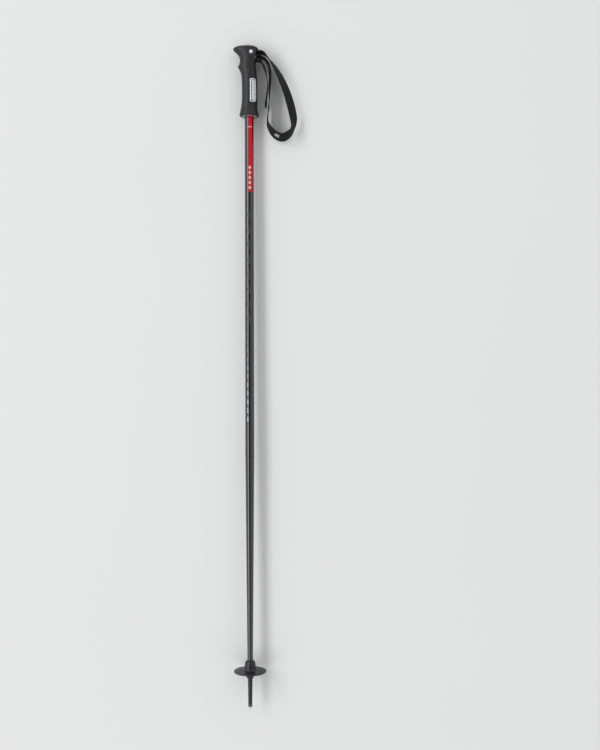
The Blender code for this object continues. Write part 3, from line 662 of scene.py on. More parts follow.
def grip_reach(height):
    """Front, rear and side reach of the rubber at a height, and how square its rear is."""
    depth = min(max(pole_top - height, 0), GRIP_ROWS[0][0])
    i = max(k for k in range(len(GRIP_ROWS) - 1) if GRIP_ROWS[k][0] >= depth)
    here, after = GRIP_ROWS[i], GRIP_ROWS[i + 1]
    before, beyond = GRIP_ROWS[max(i - 1, 0)], GRIP_ROWS[min(i + 2, len(GRIP_ROWS) - 1)]
    span = here[0] - after[0]
    t = (here[0] - depth) / span
    found = []
    for k in range(1, 5):
        leave = (after[k] - before[k]) / (before[0] - after[0]) * span
        arrive = (beyond[k] - here[k]) / (here[0] - beyond[0]) * span
        rest = (2 * t**3 - 3 * t**2 + 1) * here[k] + (3 * t**2 - 2 * t**3) * after[k]
        found.append(rest + (t**3 - 2 * t**2 + t) * leave + (t**3 - t**2) * arrive)
    return shell_bore + found[0], shell_bore + found[1], shell_bore + found[2], found[3]


def grip_spot(height, turn, beyond=0.0):
    """A point of the rubber's skin. turn goes from the rear (0) by +Y (a quarter) to the front."""
    front, rear, side, square = grip_reach(height)
    power, reach = (square, rear) if math.cos(turn) >= 0 else (FRONT_SQUARE, front)

    def on_section(angle):
        c, s = math.cos(angle), math.sin(angle)
        x = math.copysign(abs(c) ** (2 / power) * reach, c)
        return Vector((x, math.copysign(abs(s) ** (2 / power) * side, s), 0))

    here = on_section(turn)
    if beyond:
        along = (on_section(turn + TURN_STEP) - on_section(turn - TURN_STEP)).normalized()
        here += Vector((along.y, -along.x, 0)) * beyond
    return here + Vector((0, 0, height))


def grip_ring(height, shrink=1.0):
    """The skin's section at a height."""
    spots = [grip_spot(height, a) for a in even_turns(GRIP_TURNS)]
    return [Vector((spot.x * shrink, spot.y * shrink, spot.z)) for spot in spots]


print("widest at the head, mm:", round(2000 * grip_reach(pole_top - BEAK_DEPTH)[2], 1))

# %% [markdown]
# ## Shell and cap
#
# The shell is lofted as one closed form and then cut: the bore for the sleeve, the room for the ring, the
# pocket that holds the strap's housing, the hole for the pin's two heads and the recess for the badge. The
# cap closes the pocket. It meets the shell in a hairline joint, so the head still reads as one smooth form.

# %% Loft the shell, cut it, and cap it
SHELL_ROWS = 150
CAP_ROWS = 26
JOINT = 0.00004  # half of the hairline between shell and cap
POCKET_REACH = 0.05
SIDE_REACH = 0.03
CAP_CROWDING = 1.8  # the cap's rows lie closer together towards its top
CAP_SHRINKS = (0.8, 0.5, 0.2)
pin_middle = (pin_low + pin_high) / 2
pin_head_radius = (pin_high.x - pin_low.x) / 2

heights = [grip_bottom + (cap_line - JOINT - grip_bottom) * i / (SHELL_ROWS - 1) for i in range(SHELL_ROWS)]
shell = new_piece("grip_shell_skin", skin_rows([grip_ring(height) for height in heights]))
below = grip_bottom - TOOL_SPARE
sleeve_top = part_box("grip_sleeve")[1].z
cut(
    shell,
    [
        round_tool(shell_bore, (0, 0, below), (0, 0, sleeve_top + TOUCH_GAP)),
        round_tool(collar_high.x + TOUCH_GAP, (0, 0, below), (0, 0, collar_high.z + TOUCH_GAP)),
        box_tool(
            (housing_low.x - TOUCH_GAP, housing_low.y - TOUCH_GAP, housing_low.z - TOUCH_GAP),
            (POCKET_REACH, housing_high.y + TOUCH_GAP, pole_top),
        ),
        round_tool(
            pin_head_radius + TOUCH_GAP,
            (pin_middle.x, -SIDE_REACH, pin_middle.z),
            (pin_middle.x, SIDE_REACH, pin_middle.z),
            64,
        ),
    ],
)
cap_start = cap_line + JOINT
cap_shares = [1 - (1 - i / (CAP_ROWS - 1)) ** CAP_CROWDING for i in range(CAP_ROWS)]
cap_heights = [cap_start + (pole_top - cap_start) * share for share in cap_shares]
cap_rings = [grip_ring(height) for height in cap_heights]
cap_rings += [grip_ring(pole_top, shrink) for shrink in CAP_SHRINKS]
cap = new_piece("grip_cap_skin", skin_rows(cap_rings))
print("shell and cap lofted")

# %% [markdown]
# ## The badge
#
# A bright rolled frame is let into the rubber on the near side, round a dark field. Plain slanted bars fill
# it. Every part of it is bent to the grip: a place is given by how far it lies to the side and up from the
# badge's middle, and the grip's own skin does the bending.

# %% Places on the badge
BADGE_FROM = math.radians(38)
BADGE_TO = math.radians(84)
BADGE_SINK = 0.0005
BADGE_RAISE = 0.0004
FIELD_RAISE = 0.0001
BADGE_RIM = 0.0013
BADGE_CORNER = 0.0018
RIM_SOFT = 0.00025  # the small bevel on the frame's edges
RECESS_OUT = 0.004
FIELD_GAP = 0.00005
FIELD_CORNER = 0.0008
PER_CORNER = 8
PER_SIDE = 26
badge_middle = (badge_low + badge_high) / 2
badge_tall = (badge_high - badge_low) / 2
badge_wide = (grip_spot(badge_middle, -BADGE_TO) - grip_spot(badge_middle, -BADGE_FROM)).length / 2


def badge_spot(side, up, beyond):
    """A place on the badge. side and up are metres from its middle, and side grows towards the front."""
    turn = (BADGE_FROM + BADGE_TO) / 2 + (BADGE_TO - BADGE_FROM) / 2 * side / badge_wide
    return grip_spot(badge_middle + up, -turn, beyond)


def rounded_field(half_wide, half_tall, radius):
    """Where a rounded oblong's shares of width and height lie on the badge."""

    def spot(across, up, beyond):
        height = (2 * up - 1) * half_tall
        into_corner = max(abs(height) - (half_tall - radius), 0)
        drawn_in = radius - math.sqrt(max(radius**2 - into_corner**2, 0))
        return badge_spot((2 * across - 1) * (half_wide - drawn_in), height, beyond)

    return spot


def rounded_path(half_wide, half_tall, radius):
    """(side, up, out side, out up) round a rounded oblong, where out points away from it."""
    path = []
    corners = ((1, 1, 0), (-1, 1, 90), (-1, -1, 180), (1, -1, 270))
    for right, high, start in corners:
        for i in range(PER_CORNER + 1):
            angle = math.radians(start + 90 * i / PER_CORNER)
            c, s = math.cos(angle), math.sin(angle)
            centre = (right * (half_wide - radius), high * (half_tall - radius))
            path.append((centre[0] + radius * c, centre[1] + radius * s, c, s))
    filled = []
    for here, after in zip(path, path[1:] + path[:1]):
        far = math.dist(here[:2], after[:2])
        steps = PER_SIDE if far > 3 * radius else 1
        filled += [tuple(a + (b - a) * k / steps for a, b in zip(here, after)) for k in range(steps)]
    return filled


print("badge, mm:", round(2000 * badge_wide, 1), "x", round(2000 * badge_tall, 1))

# %% Frame, field and bars
BAR_COUNT = 8
BAR_FILL = 0.62  # share of the pitch that a bar takes
BAR_SLANT = 0.35
BAR_MARGIN = 0.0012
BAR_BEVEL = 0.0001
BAR_INSET = (0.02, 0.06)

recess_edge = rounded_field(badge_wide + TOUCH_GAP / 2, badge_tall + TOUCH_GAP / 2, BADGE_CORNER)
recess = new_piece("cut_recess", plate(recess_edge, -BADGE_SINK - TOUCH_GAP / 2, RECESS_OUT, 16, 60))
cut(shell, [recess])

half_rim = BADGE_RIM / 2
rim_section = (
    (-half_rim, -BADGE_SINK),
    (-half_rim, BADGE_RAISE - RIM_SOFT),
    (-half_rim + RIM_SOFT, BADGE_RAISE),
    (half_rim - RIM_SOFT, BADGE_RAISE),
    (half_rim, BADGE_RAISE - RIM_SOFT),
    (half_rim, -BADGE_SINK),
)
rim_rows = [
    [badge_spot(side + out_side * off, up + out_up * off, beyond) for off, beyond in rim_section]
    for side, up, out_side, out_up in rounded_path(
        badge_wide - half_rim, badge_tall - half_rim, BADGE_CORNER - half_rim / 2
    )
]
badge_rim = new_piece("badge_rim", skin_rows(rim_rows, joined_ends=True))
inner_wide, inner_tall = badge_wide - BADGE_RIM, badge_tall - BADGE_RIM
field_spot = rounded_field(inner_wide - FIELD_GAP, inner_tall - FIELD_GAP, FIELD_CORNER)
badge_field = new_piece("badge_plate", plate(field_spot, -BADGE_SINK, FIELD_RAISE, 12, 48))


def bar_spot(number):
    """The places of one slanted bar, counted from the bottom."""
    pitch = 2 * (inner_tall - BAR_MARGIN) / BAR_COUNT
    start = -inner_tall + BAR_MARGIN + pitch * (number + (1 - BAR_FILL) / 2)
    half_wide = inner_wide - BAR_MARGIN

    def spot(across, up, beyond):
        side = (2 * across - 1) * half_wide
        return badge_spot(side, start + up * pitch * BAR_FILL + side * BAR_SLANT * pitch / half_wide, beyond)

    return spot


bars = [plate(bar_spot(n), 0.0, BADGE_RAISE, 8, 4, BAR_BEVEL, BAR_INSET) for n in range(BAR_COUNT)]
badge_bars = new_piece("badge_bars", together(bars))

finish_piece(shell, soft_rubber)
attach(shell, "pole")
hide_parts("grip_shell")
finish_piece(cap, soft_rubber)
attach(cap, "pole")
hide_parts("grip_cap")
finish_piece(badge_rim, badge_aluminium)
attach(badge_rim, "pole")
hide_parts("badge_frame")
finish_piece(badge_field, badge_enamel)
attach(badge_field, "pole")
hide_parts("badge_field")
finish_piece(badge_bars, badge_aluminium)
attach(badge_bars, "pole")

# %% [markdown]
# ## Prints on the tube
#
# A print has no thickness to speak of, but a mark that only changes colour inside one material is hard to
# place and hard to reuse. So each print is a real skin a few hundredths of a millimetre proud of the tube,
# like a transfer: a red stripe with a pale tick and five pale diamonds, dark diamonds that show only by
# their gloss, and a row of silver dashes. None of them is a letter or a mark of any maker.

# %% Places on the tube, and the transfers
PRINT_SINK = -0.00006
PRINT_PROUD = 0.00003
OVERPRINT_PROUD = 0.00006  # for a print that lies on the stripe
STRIPE_HIDDEN = 0.004  # how far the stripe runs up inside the grip
STRIPE_TURN = math.radians(9)
STRIPE_HALF = 0.0039
STRIPE_LOW = 0.9353
TICK_HEIGHT = 1.0524
TICK_TALL = 0.0013
TICK_SLANT = 0.0003
PIP_HEIGHTS = [0.9790 - 0.00907 * i for i in range(5)]
PIP_TALL = 0.0066
PIP_HALF = 0.0029
GHOST_HEIGHTS = [0.8930 - 0.0266 * i for i in range(8)]
GHOST_TALL = 0.0210
GHOST_HALF = 0.0030
GHOST_TURN = math.radians(-4)
DASH_COUNT = 12
DASH_TALL = 0.0088
DASH_HALF = 0.0009
DASH_TURN = math.radians(-22)


def tube_spot(turn, side, height, beyond):
    """A place on the tube. turn goes from the near side towards the rear, and side is in metres round it."""
    angle = turn + side / shaft_radius
    reach = shaft_radius + beyond
    return Vector((reach * math.sin(angle), -reach * math.cos(angle), height))


def oblong(turn, half, low, high, slant=0.0):
    """Shares of an oblong on the tube."""
    return lambda across, up, beyond: tube_spot(
        turn, (2 * across - 1) * half, low + (high - low) * up + slant * (2 * across - 1), beyond
    )


def diamond(turn, half, middle, tall):
    """Shares of a diamond on the tube, which stands on its point."""
    return lambda across, up, beyond: tube_spot(
        turn, (across - up) * half, middle + (across + up - 1) * tall / 2, beyond
    )


def transfer(name, spots, proud, ink, columns=8, rows=8):
    """One printed piece, made of one plate for each mark."""
    piece = new_piece(name, together([plate(spot, PRINT_SINK, proud, columns, rows) for spot in spots]))
    finish_piece(piece, ink)
    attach(piece, "pole")


stripe = oblong(STRIPE_TURN, STRIPE_HALF, STRIPE_LOW, grip_bottom + STRIPE_HIDDEN)
transfer("stripe_print", [stripe], PRINT_PROUD, red_ink, 16, 60)
tick_low = TICK_HEIGHT - TICK_TALL / 2
tick = oblong(STRIPE_TURN, STRIPE_HALF, tick_low, tick_low + TICK_TALL, TICK_SLANT)
transfer("stripe_tick", [tick], OVERPRINT_PROUD, pale_ink, 12, 2)
pips = [diamond(STRIPE_TURN, PIP_HALF, z, PIP_TALL) for z in PIP_HEIGHTS]
transfer("stripe_pips", pips, OVERPRINT_PROUD, pale_ink)
ghosts = [diamond(GHOST_TURN, GHOST_HALF, z, GHOST_TALL) for z in GHOST_HEIGHTS]
transfer("ghost_diamonds", ghosts, PRINT_PROUD, ghost_ink)
dash_pitch = (DASH_HIGH - DASH_LOW) / (DASH_COUNT - 1)
dash_starts = [DASH_LOW + dash_pitch * i for i in range(DASH_COUNT)]
dashes = [oblong(DASH_TURN, DASH_HALF, z - DASH_TALL / 2, z + DASH_TALL / 2) for z in dash_starts]
transfer("silver_dashes", dashes, PRINT_PROUD, silver_ink, 4, 4)

# %% [markdown]
# ## The basket
#
# The basket is one nylon moulding: a domed hub that is pushed up over the ferrule, a thin dished disc with
# radial ribs and a rounded rim, and a slotted skirt below. It is a turned form, so its section is turned
# about the shaft. The ribs are made by sinking the disc's web between them, and the slots are cut
# afterwards.

# %% Turn the basket, rib it, and slot its skirt
basket_low, basket_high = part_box("basket")
BASKET_STEPS = 168
RIM_THICK = 0.0024
DISH = 0.0012
HUB_BORE = 0.0062
HUB_LIP = 0.0005
HUB_WALL = 0.0040
SKIRT_WALL = 0.0007
SLOT_WIDE = 0.0052
SLOT_TALL = 0.0060
RIB_COUNT = 12
WEB_SINK = 0.00045
WEB_FADE = 0.0012
FILLET_WIDE = 0.0024
DOME_SHARE = 0.7  # how much of the hub's height is rounded
SKIRT_FLARE = 0.0008
SKIRT_ROOT = 0.0018
SKIRT_BEVEL = 0.0002
rim_middle = 0.0695


def basket_section():
    """(radius, height) round the moulding's section, from the hub's lip down the outside."""
    top, under = rim_middle + RIM_THICK / 2, rim_middle - RIM_THICK / 2
    rim_radius, hub = basket_high.x, HUB_BORE + HUB_WALL
    dome_tall = (basket_high.z - top) * DOME_SHARE
    disc_top = top + DISH
    fillet_tall = basket_high.z - dome_tall - disc_top
    section = [(HUB_BORE, basket_high.z)]
    for i in range(15):
        a = math.radians(90 * i / 14)
        out = HUB_BORE + HUB_LIP + (HUB_WALL - HUB_LIP) * math.sin(a)
        section.append((out, basket_high.z - dome_tall * (1 - math.cos(a))))
    for i in range(1, 9):
        a = math.radians(90 * i / 8)
        section.append((hub + FILLET_WIDE * (1 - math.cos(a)), disc_top + fillet_tall * (1 - math.sin(a))))
    web_from, web_to = hub + FILLET_WIDE, rim_radius - RIM_THICK / 2
    section += [(web_from + (web_to - web_from) * i / 12, disc_top - DISH * i / 12) for i in range(1, 12)]
    for i in range(11):
        a = math.radians(90 - 18 * i)
        section.append((web_to + RIM_THICK / 2 * math.cos(a), rim_middle + RIM_THICK / 2 * math.sin(a)))
    section += [(web_to + (hub - web_to) * i / 8, under + DISH * i / 8) for i in range(1, 9)]
    skirt, skirt_end = HUB_BORE + SKIRT_WALL, basket_low.z + SKIRT_BEVEL
    section += [(skirt + SKIRT_FLARE, under + DISH - SKIRT_ROOT), (skirt, skirt_end)]
    section += [(skirt - SKIRT_BEVEL, basket_low.z), (HUB_BORE + SKIRT_BEVEL, basket_low.z)]
    return section + [(HUB_BORE, skirt_end)]


def web_lift(radius, height, turn):
    """How far the disc's upper face is sunk between the ribs, fading at the hub and at the rim."""
    if height < rim_middle + RIM_THICK / 4 or radius < HUB_BORE + HUB_WALL + FILLET_WIDE:
        return 0.0
    inward = (basket_high.x - RIM_THICK / 2 - radius) / WEB_FADE
    outward = (radius - HUB_BORE - HUB_WALL - FILLET_WIDE) / WEB_FADE
    fade = min(max(min(inward, outward), 0), 1)
    between_ribs = 1 - max(math.cos(turn * RIB_COUNT), 0) ** 6
    return -WEB_SINK * fade * between_ribs


def basket_row(turn):
    """The moulding's section, turned round the pole."""
    c, s = math.cos(turn), math.sin(turn)
    return [(radius * c, radius * s, z + web_lift(radius, z, turn)) for radius, z in section]


section = basket_section()
basket_rows = [basket_row(turn) for turn in even_turns(BASKET_STEPS)]
basket = new_piece("basket_moulding", skin_rows(basket_rows, joined_ends=True))
far = basket_high.x
slot_low, slot_top = basket_low.z - TOOL_SPARE, basket_low.z + SLOT_TALL
half = SLOT_WIDE / 2
slots = [
    box_tool((-far, -half, slot_low), (far, half, slot_top)),
    box_tool((-half, -far, slot_low), (half, far, slot_top)),
]
cut(basket, slots)
finish_piece(basket, lower_nylon)
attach(basket, "basket")
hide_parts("basket")

# %% [markdown]
# ## The strap
#
# One length of webbing does everything. Its sewn eye goes round the pin in the head, it leaves the head,
# hangs as the wrist loop, comes back in, and doubles round a wedge that locks it; what is left over hangs
# as the tail. It is flat, so it is swept: at each small step along its route stands one cross-section with
# rounded selvages. The route's points lie along the webbing's outer face, and the third number says how far
# its far edge leans outwards.

# %% The strap's route
STRAP_WIDE = 0.022
STRAP_THICK = 0.0018
LOOP_ROUTE = (
    (0.0003, 0.0, 0.0),
    (0.0067, 0.0025, 0.0),
    (0.0128, 0.0083, 0.0012),
    (0.0252, 0.0246, 0.0038),
    (0.0394, 0.0507, 0.0060),
    (0.0518, 0.0830, 0.0071),
    (0.0602, 0.1188, 0.0066),
    (0.0588, 0.1400, 0.0024),
    (0.0500, 0.1514, 0.0045),
    (0.0375, 0.1560, 0.0052),
    (0.0233, 0.1482, 0.0046),
    (0.0128, 0.1322, 0.0018),
    (0.0122, 0.1174, 0.0008),
    (0.0144, 0.0948, 0.0004),
    (0.0158, 0.0689, 0.0017),
    (0.0165, 0.0429, 0.0021),
    (0.0151, 0.0276, 0.0011),
    (0.0117, 0.0194, 0.0004),
    (0.0061, 0.0135, 0.0),
)
TAIL_ROUTE = (
    (0.0002, 0.0, 0.0),
    (0.0049, 0.0023, 0.0),
    (0.0083, 0.0083, 0.0),
    (0.0136, 0.0221, 0.0),
    (0.0167, 0.0368, 0.0),
    (0.0171, 0.0529, 0.0),
    (0.0152, 0.0690, 0.0),
    (0.0134, 0.0860, 0.0),
)
ROW_SPACING = 0.0003
PER_SPAN = 16
SEAM_END_X = 0.0158
INNER_X = 0.012  # where the strands inside the head start to turn
TAIL_INNER_X = 0.010
WEDGE_TURN = 268  # degrees round the wedge where the tail takes over from the loop
strap_low, strap_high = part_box("strap_loop")
strap_wide = min(strap_high.y - strap_low.y, STRAP_WIDE)
half_thick = STRAP_THICK / 2
wedge_middle = (wedge_low.z + wedge_high.z) / 2
lock_strand_z = wedge_high.z + TOUCH_GAP + half_thick
turn_x = wedge_low.x + (wedge_high.z - wedge_low.z) / 2
bight_radius = lock_strand_z - wedge_middle
eye_radius = loop_hinge.z - pin_middle.z


def smooth_through(points, per_span):
    """Points along a Catmull-Rom curve through the given ones."""
    ends = [points[0], *points, points[-1]]
    made = []
    for a, b, c, d in zip(ends, ends[1:], ends[2:], ends[3:]):
        for step in range(per_span):
            t = step / per_span
            bend = (2 * a - 5 * b + 4 * c - d) * t**2 + (3 * b - a - 3 * c + d) * t**3
            made.append(b + 0.5 * ((c - a) * t + bend))
    return made + [points[-1]]


def arc(centre_x, centre_z, radius, start, end, steps):
    """(x, z, lean) points along an arc, angles in degrees from +X towards +Z."""
    angles = [math.radians(start + (end - start) * i / steps) for i in range(steps + 1)]
    return [Vector((centre_x + radius * math.cos(a), centre_z + radius * math.sin(a), 0)) for a in angles]


def outward_at(rows, i):
    """The direction to the left of a route at a row, as (x, z)."""
    along = (rows[min(i + 1, len(rows) - 1)] - rows[max(i - 1, 0)]).xy.normalized()
    return Vector((-along.y, along.x))


def face_to_middle(rows):
    """Moves a route from the webbing's outer face to its middle."""
    return [row - outward_at(rows, i).to_3d() * half_thick for i, row in enumerate(rows)]


def even_rows(points, spacing):
    """The same route as rows at an even spacing."""
    reached = [0.0]
    for here, after in zip(points, points[1:]):
        reached.append(reached[-1] + (after.xy - here.xy).length)
    count = round(reached[-1] / spacing)
    rows, k = [], 0
    for i in range(count + 1):
        at = reached[-1] * i / count
        while k < len(points) - 2 and reached[k + 1] < at:
            k += 1
        share = (at - reached[k]) / max(reached[k + 1] - reached[k], 1e-9)
        rows.append(points[k].lerp(points[k + 1], share))
    return rows


anchor_z = loop_hinge.z
route = [Vector((loop_hinge.x + x, anchor_z + half_thick - down, lean)) for x, down, lean in LOOP_ROUTE]
route.append(Vector((loop_hinge.x + LOOP_ROUTE[0][0], lock_strand_z - half_thick, 0)))
eye = arc(pin_middle.x, pin_middle.z, eye_radius, 300, 90, 28)
seam_z = anchor_z - STRAP_THICK - TOUCH_GAP
seam_x = eye[0].x + (seam_z - eye[0].y) * math.sqrt(3)
seam = [Vector((x, seam_z, 0)) for x in (SEAM_END_X, seam_x)]
loop_points = [*seam, *eye, Vector((INNER_X, anchor_z, 0))]
loop_points += face_to_middle(smooth_through(route, PER_SPAN))
loop_points.append(Vector((INNER_X, lock_strand_z, 0)))
loop_points += arc(turn_x, wedge_middle, bight_radius, 90, WEDGE_TURN, 24)
loop_rows = even_rows(loop_points, ROW_SPACING)

tail_points = arc(turn_x, wedge_middle, bight_radius, WEDGE_TURN, 270, 1)
tail_points.append(Vector((TAIL_INNER_X, tail_hinge.z, 0)))
route = [Vector((tail_hinge.x + x, tail_hinge.z + half_thick - down, lean)) for x, down, lean in TAIL_ROUTE]
tail_points += face_to_middle(smooth_through(route, PER_SPAN))
tail_rows = even_rows(tail_points, ROW_SPACING)
long_mm = [round(len(rows) * ROW_SPACING * 1000) for rows in (loop_rows, tail_rows)]
print("webbing, mm: loop", long_mm[0], "tail", long_mm[1])

# %% [markdown]
# ## Sweeping the webbing
#
# The cross-section has a rounded selvage on each side and a shallow channel beside it, as woven edges do,
# and the weft ribs swell it a little every 1.2 mm. The tail's last 12 mm are folded back and sewn, so the
# section grows to double thickness there and is rounded off at the fold.

# %% Sweep the loop and the tail
SELVAGE = 0.0006
SELVAGE_TALL = 0.86  # how tall the rounded selvage is, as a share of the thickness
STRAP_CORNER = 50  # degrees
RIB_SWELL = 0.00005
CHANNEL = 0.00010
HEM_LONG = 0.012
HEM_THICK = 0.0030
HEM_RISE = 0.0009  # the length over which the section doubles
THINNEST = 0.0004
RIB_SINK = 0.00004
HALF_SHARES = (0.2, 0.4, 0.6, 0.78, 0.83, 0.88, 0.93, 1)
COLUMN_SHARES = (*(-share for share in reversed(HALF_SHARES)), 0, *HALF_SHARES)


def strip_frames(rows):
    """For each row its middle, the direction across the strip and the direction out of its outer face."""
    frames = []
    for i, row in enumerate(rows):
        out = outward_at(rows, i)
        outward = Vector((out.x, 0, out.y))
        lean = math.asin(min(2 * row.z / strap_wide, 0.9))
        across = outward * math.sin(lean) + Vector((0, math.cos(lean), 0))
        normal = outward * math.cos(lean) - Vector((0, math.sin(lean), 0))
        frames.append((Vector((row.x, 0, row.y)), across, normal))
    return frames


def strip_section(thick, along):
    """(across, out) round the strip's section, both in metres."""
    flat = strap_wide / 2 - SELVAGE
    rib = RIB_SWELL * math.sin(2 * math.pi * along / RIB_PITCH)
    face = []
    for share in COLUMN_SHARES:
        dip = CHANNEL if 0.8 < abs(share) < 0.9 else 0.0
        face.append((share * flat, thick / 2 - RIB_SINK + rib - dip))
    edge = [math.radians(60 - 30 * i) for i in range(5)]
    right = [(flat + SELVAGE * math.cos(a), thick / 2 * SELVAGE_TALL * math.sin(a)) for a in edge]
    left = [(-x, -z) for x, z in right]
    return face + right + [(-x, -z) for x, z in face] + left


def sweep(name, rows, thick_at):
    """The strip as a closed mesh that carries its along and across measures."""
    frames = strip_frames(rows)
    rings, measures = [], []
    for i, (middle, across, normal) in enumerate(frames):
        along = i * ROW_SPACING
        section = strip_section(thick_at(i), along)
        rings.append([middle + across * u + normal * v for u, v in section])
        measures += [(along, u) for u, v in section]
    points, faces = skin_rows(rings)
    mesh = bpy.data.meshes.new(name)
    mesh.from_pydata(points, [], faces)
    for column, label in enumerate(("along", "across")):
        measure = mesh.attributes.new(label, "FLOAT", "POINT")
        measure.data.foreach_set("value", [pair[column] for pair in measures])
    face_out(mesh, weld=False)
    shade(mesh, STRAP_CORNER)
    return add_object(name, mesh), frames


def hem_thick(i):
    """The tail's thickness at a row: doubled where it is folded back, and rounded off at the fold."""
    to_end = (len(tail_rows) - 1 - i) * ROW_SPACING
    rise = min(max((HEM_LONG - to_end) / HEM_RISE, 0), 1)
    thick = STRAP_THICK + (HEM_THICK - STRAP_THICK) * rise * rise * (3 - 2 * rise)
    fold = min(to_end / (HEM_THICK / 2), 1)
    return max(thick * math.sqrt(1 - (1 - fold) ** 2), THINNEST)


wrist_strap, loop_frames = sweep("wrist_strap", loop_rows, lambda i: STRAP_THICK)
finish_piece(wrist_strap, strap_weave)
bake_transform(wrist_strap)
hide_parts("strap_anchor", "strap_bight", "strap_loop")

strap_end, tail_frames = sweep("strap_end", tail_rows, hem_thick)
finish_piece(strap_end, strap_weave)
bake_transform(strap_end)
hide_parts("strap_tail")

# %% [markdown]
# ## Stitches and strap marks
#
# The hem is held by two rows of lock stitches across the tail and one along each edge. Each stitch is a
# short bead of thread that dives into the webbing at both ends, so it is modelled as a small bent rod. Near
# the bottom of the loop three short pale bars are printed on the outer face.

# %% Sew the hem
STITCH_LONG = 0.0024
STITCH_GAP = 0.0005
THREAD_RADIUS = 0.00024
THREAD_CORNER = 60  # degrees
INNER_ROW_IN = 0.0022  # from the hem's inner end to its first row of stitches
OUTER_ROW_IN = 0.0028
EDGE_ROW_IN = 0.0024


def stitch(start, end, out):
    """A thread between two points of a face, raised in the middle."""
    along = (end - start).normalized()
    side = along.cross(out).normalized()
    rings = []
    for i in range(7):
        t = i / 6
        middle = start.lerp(end, t) + out * (THREAD_RADIUS * (1.5 * math.sin(math.pi * t) - 0.7))
        thick = THREAD_RADIUS * (0.55 + 0.45 * math.sin(math.pi * t))
        rings.append([middle + (side * math.cos(a) + out * math.sin(a)) * thick for a in even_turns(8)])
    return skin_rows(rings)


def strip_spot(frames, thick_at, along, across, side):
    """A place on a strip's face: side is 1 for the outer face and -1 for the inner one."""
    at = min(max(along / ROW_SPACING, 0), len(frames) - 1.001)
    i = int(at)
    places = []
    for k in (i, i + 1):
        middle, over, normal = frames[k]
        places.append((middle + over * across + normal * side * thick_at(k) / 2, normal * side))
    share = at - i
    return places[0][0].lerp(places[1][0], share), places[0][1].lerp(places[1][1], share).normalized()


def stitch_line(start, end, side):
    """Stitches on the tail from one (along, across) place to another."""
    far = math.dist(start, end)
    count = round(far / (STITCH_LONG + STITCH_GAP))
    made = []
    for n in range(count):
        ends = []
        for share in (n / count, (n + 1) / count - STITCH_GAP / far):
            along = start[0] + (end[0] - start[0]) * share
            across = start[1] + (end[1] - start[1]) * share
            ends.append(strip_spot(tail_frames, hem_thick, along, across, side))
        out = (ends[0][1] + ends[1][1]).normalized()
        made.append(stitch(ends[0][0], ends[1][0], out))
    return made


tail_long = (len(tail_rows) - 1) * ROW_SPACING
inner_row, outer_row = tail_long - HEM_LONG + INNER_ROW_IN, tail_long - OUTER_ROW_IN
edge_row = strap_wide / 2 - EDGE_ROW_IN
threads = []
for side in (1, -1):
    for along in (inner_row, outer_row):
        threads += stitch_line((along, -edge_row), (along, edge_row), side)
    for across in (-edge_row, edge_row):
        threads += stitch_line((inner_row, across), (outer_row, across), side)
hem_stitches = new_piece("hem_stitches", together(threads), THREAD_CORNER)
finish_piece(hem_stitches, hem_thread)
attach(hem_stitches, "strap_tail")

# %% Print the strap's marks
MARK_PLACE = Vector((0.0505, 0, 1.0385))
MARK_COUNT = 3
MARK_PITCH = 0.0030
MARK_WIDE = 0.0016
MARK_TALL = 0.0070
MARK_PROUD = 0.00009
MARK_SINK = -0.0002
MARK_OFF_MIDDLE = 0.0015
MARK_SLANT = 0.0012
mark_row = min(range(len(loop_frames)), key=lambda i: (loop_frames[i][0] - MARK_PLACE).length)


def mark_spot(number):
    """The places of one slanted bar on the loop's outer face."""
    start = mark_row * ROW_SPACING + (number - MARK_COUNT / 2) * MARK_PITCH

    def spot(across, up, beyond):
        over = (up - 0.5) * MARK_TALL - MARK_OFF_MIDDLE
        along = start + across * MARK_WIDE + up * MARK_SLANT
        place, out = strip_spot(loop_frames, lambda i: STRAP_THICK, along, over, 1)
        return place + out * beyond

    return spot


marks = [plate(mark_spot(n), MARK_SINK, MARK_PROUD, 3, 10) for n in range(MARK_COUNT)]
strap_marks = new_piece("strap_marks", together(marks))
finish_piece(strap_marks, strap_ink)
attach(strap_marks, "strap_loop")

# %% [markdown]
# ## The surface behind the pole
#
# The pole lies against a plain pale surface. It is not quite parallel: the grip's head holds the pole's top
# close, and the basket holds its lower end further off, which is why the shadow widens downwards. The
# surface is a large sheet seen from its front only: from behind, it lets the eye through to the pole.

# %% Set the backdrop
BACKDROP_AT_HEAD = 0.0172
BACKDROP_AT_BASKET = 0.0305
HEAD_HEIGHT = 1.185
BACKDROP_HALF = 1.7
PAPER = (0.700, 0.703, 0.706)
PAPER_LIGHT = (0.712, 0.715, 0.718)


def pale_paper():
    """Pale matt paper with the faintest tooth. Its back is clear."""
    mix = Finish("pale_paper", {"Specular IOR Level": 0.1})
    tooth = mix.noise(0.0015, 3)
    shade_of_paper = mix.varies(
        {
            "Base Color": mix.blend(mix.noise(0.35, 2), PAPER, PAPER_LIGHT),
            "Roughness": 0.9 + tooth * 0.05,
            "Normal": mix.bump(tooth, 0.00003),
        }
    )
    front = Wire(mix, mix.shader.outputs["BSDF"])
    clear = mix.node("BsdfTransparent", {}, {})
    behind = mix.node("NewGeometry", {}, {}, "Backfacing")
    seen = mix.node("MixShader", {}, {0: behind, 1: front, 2: clear})
    output = mix.tree.nodes["Material Output"]
    mix.tree.links.new(seen.socket, output.inputs["Surface"])
    return shade_of_paper


tilt = (BACKDROP_AT_BASKET - BACKDROP_AT_HEAD) / (HEAD_HEIGHT - rim_middle)


def behind_at(height):
    """How far behind the pole's axis the surface lies."""
    return BACKDROP_AT_BASKET - (height - rim_middle) * tilt


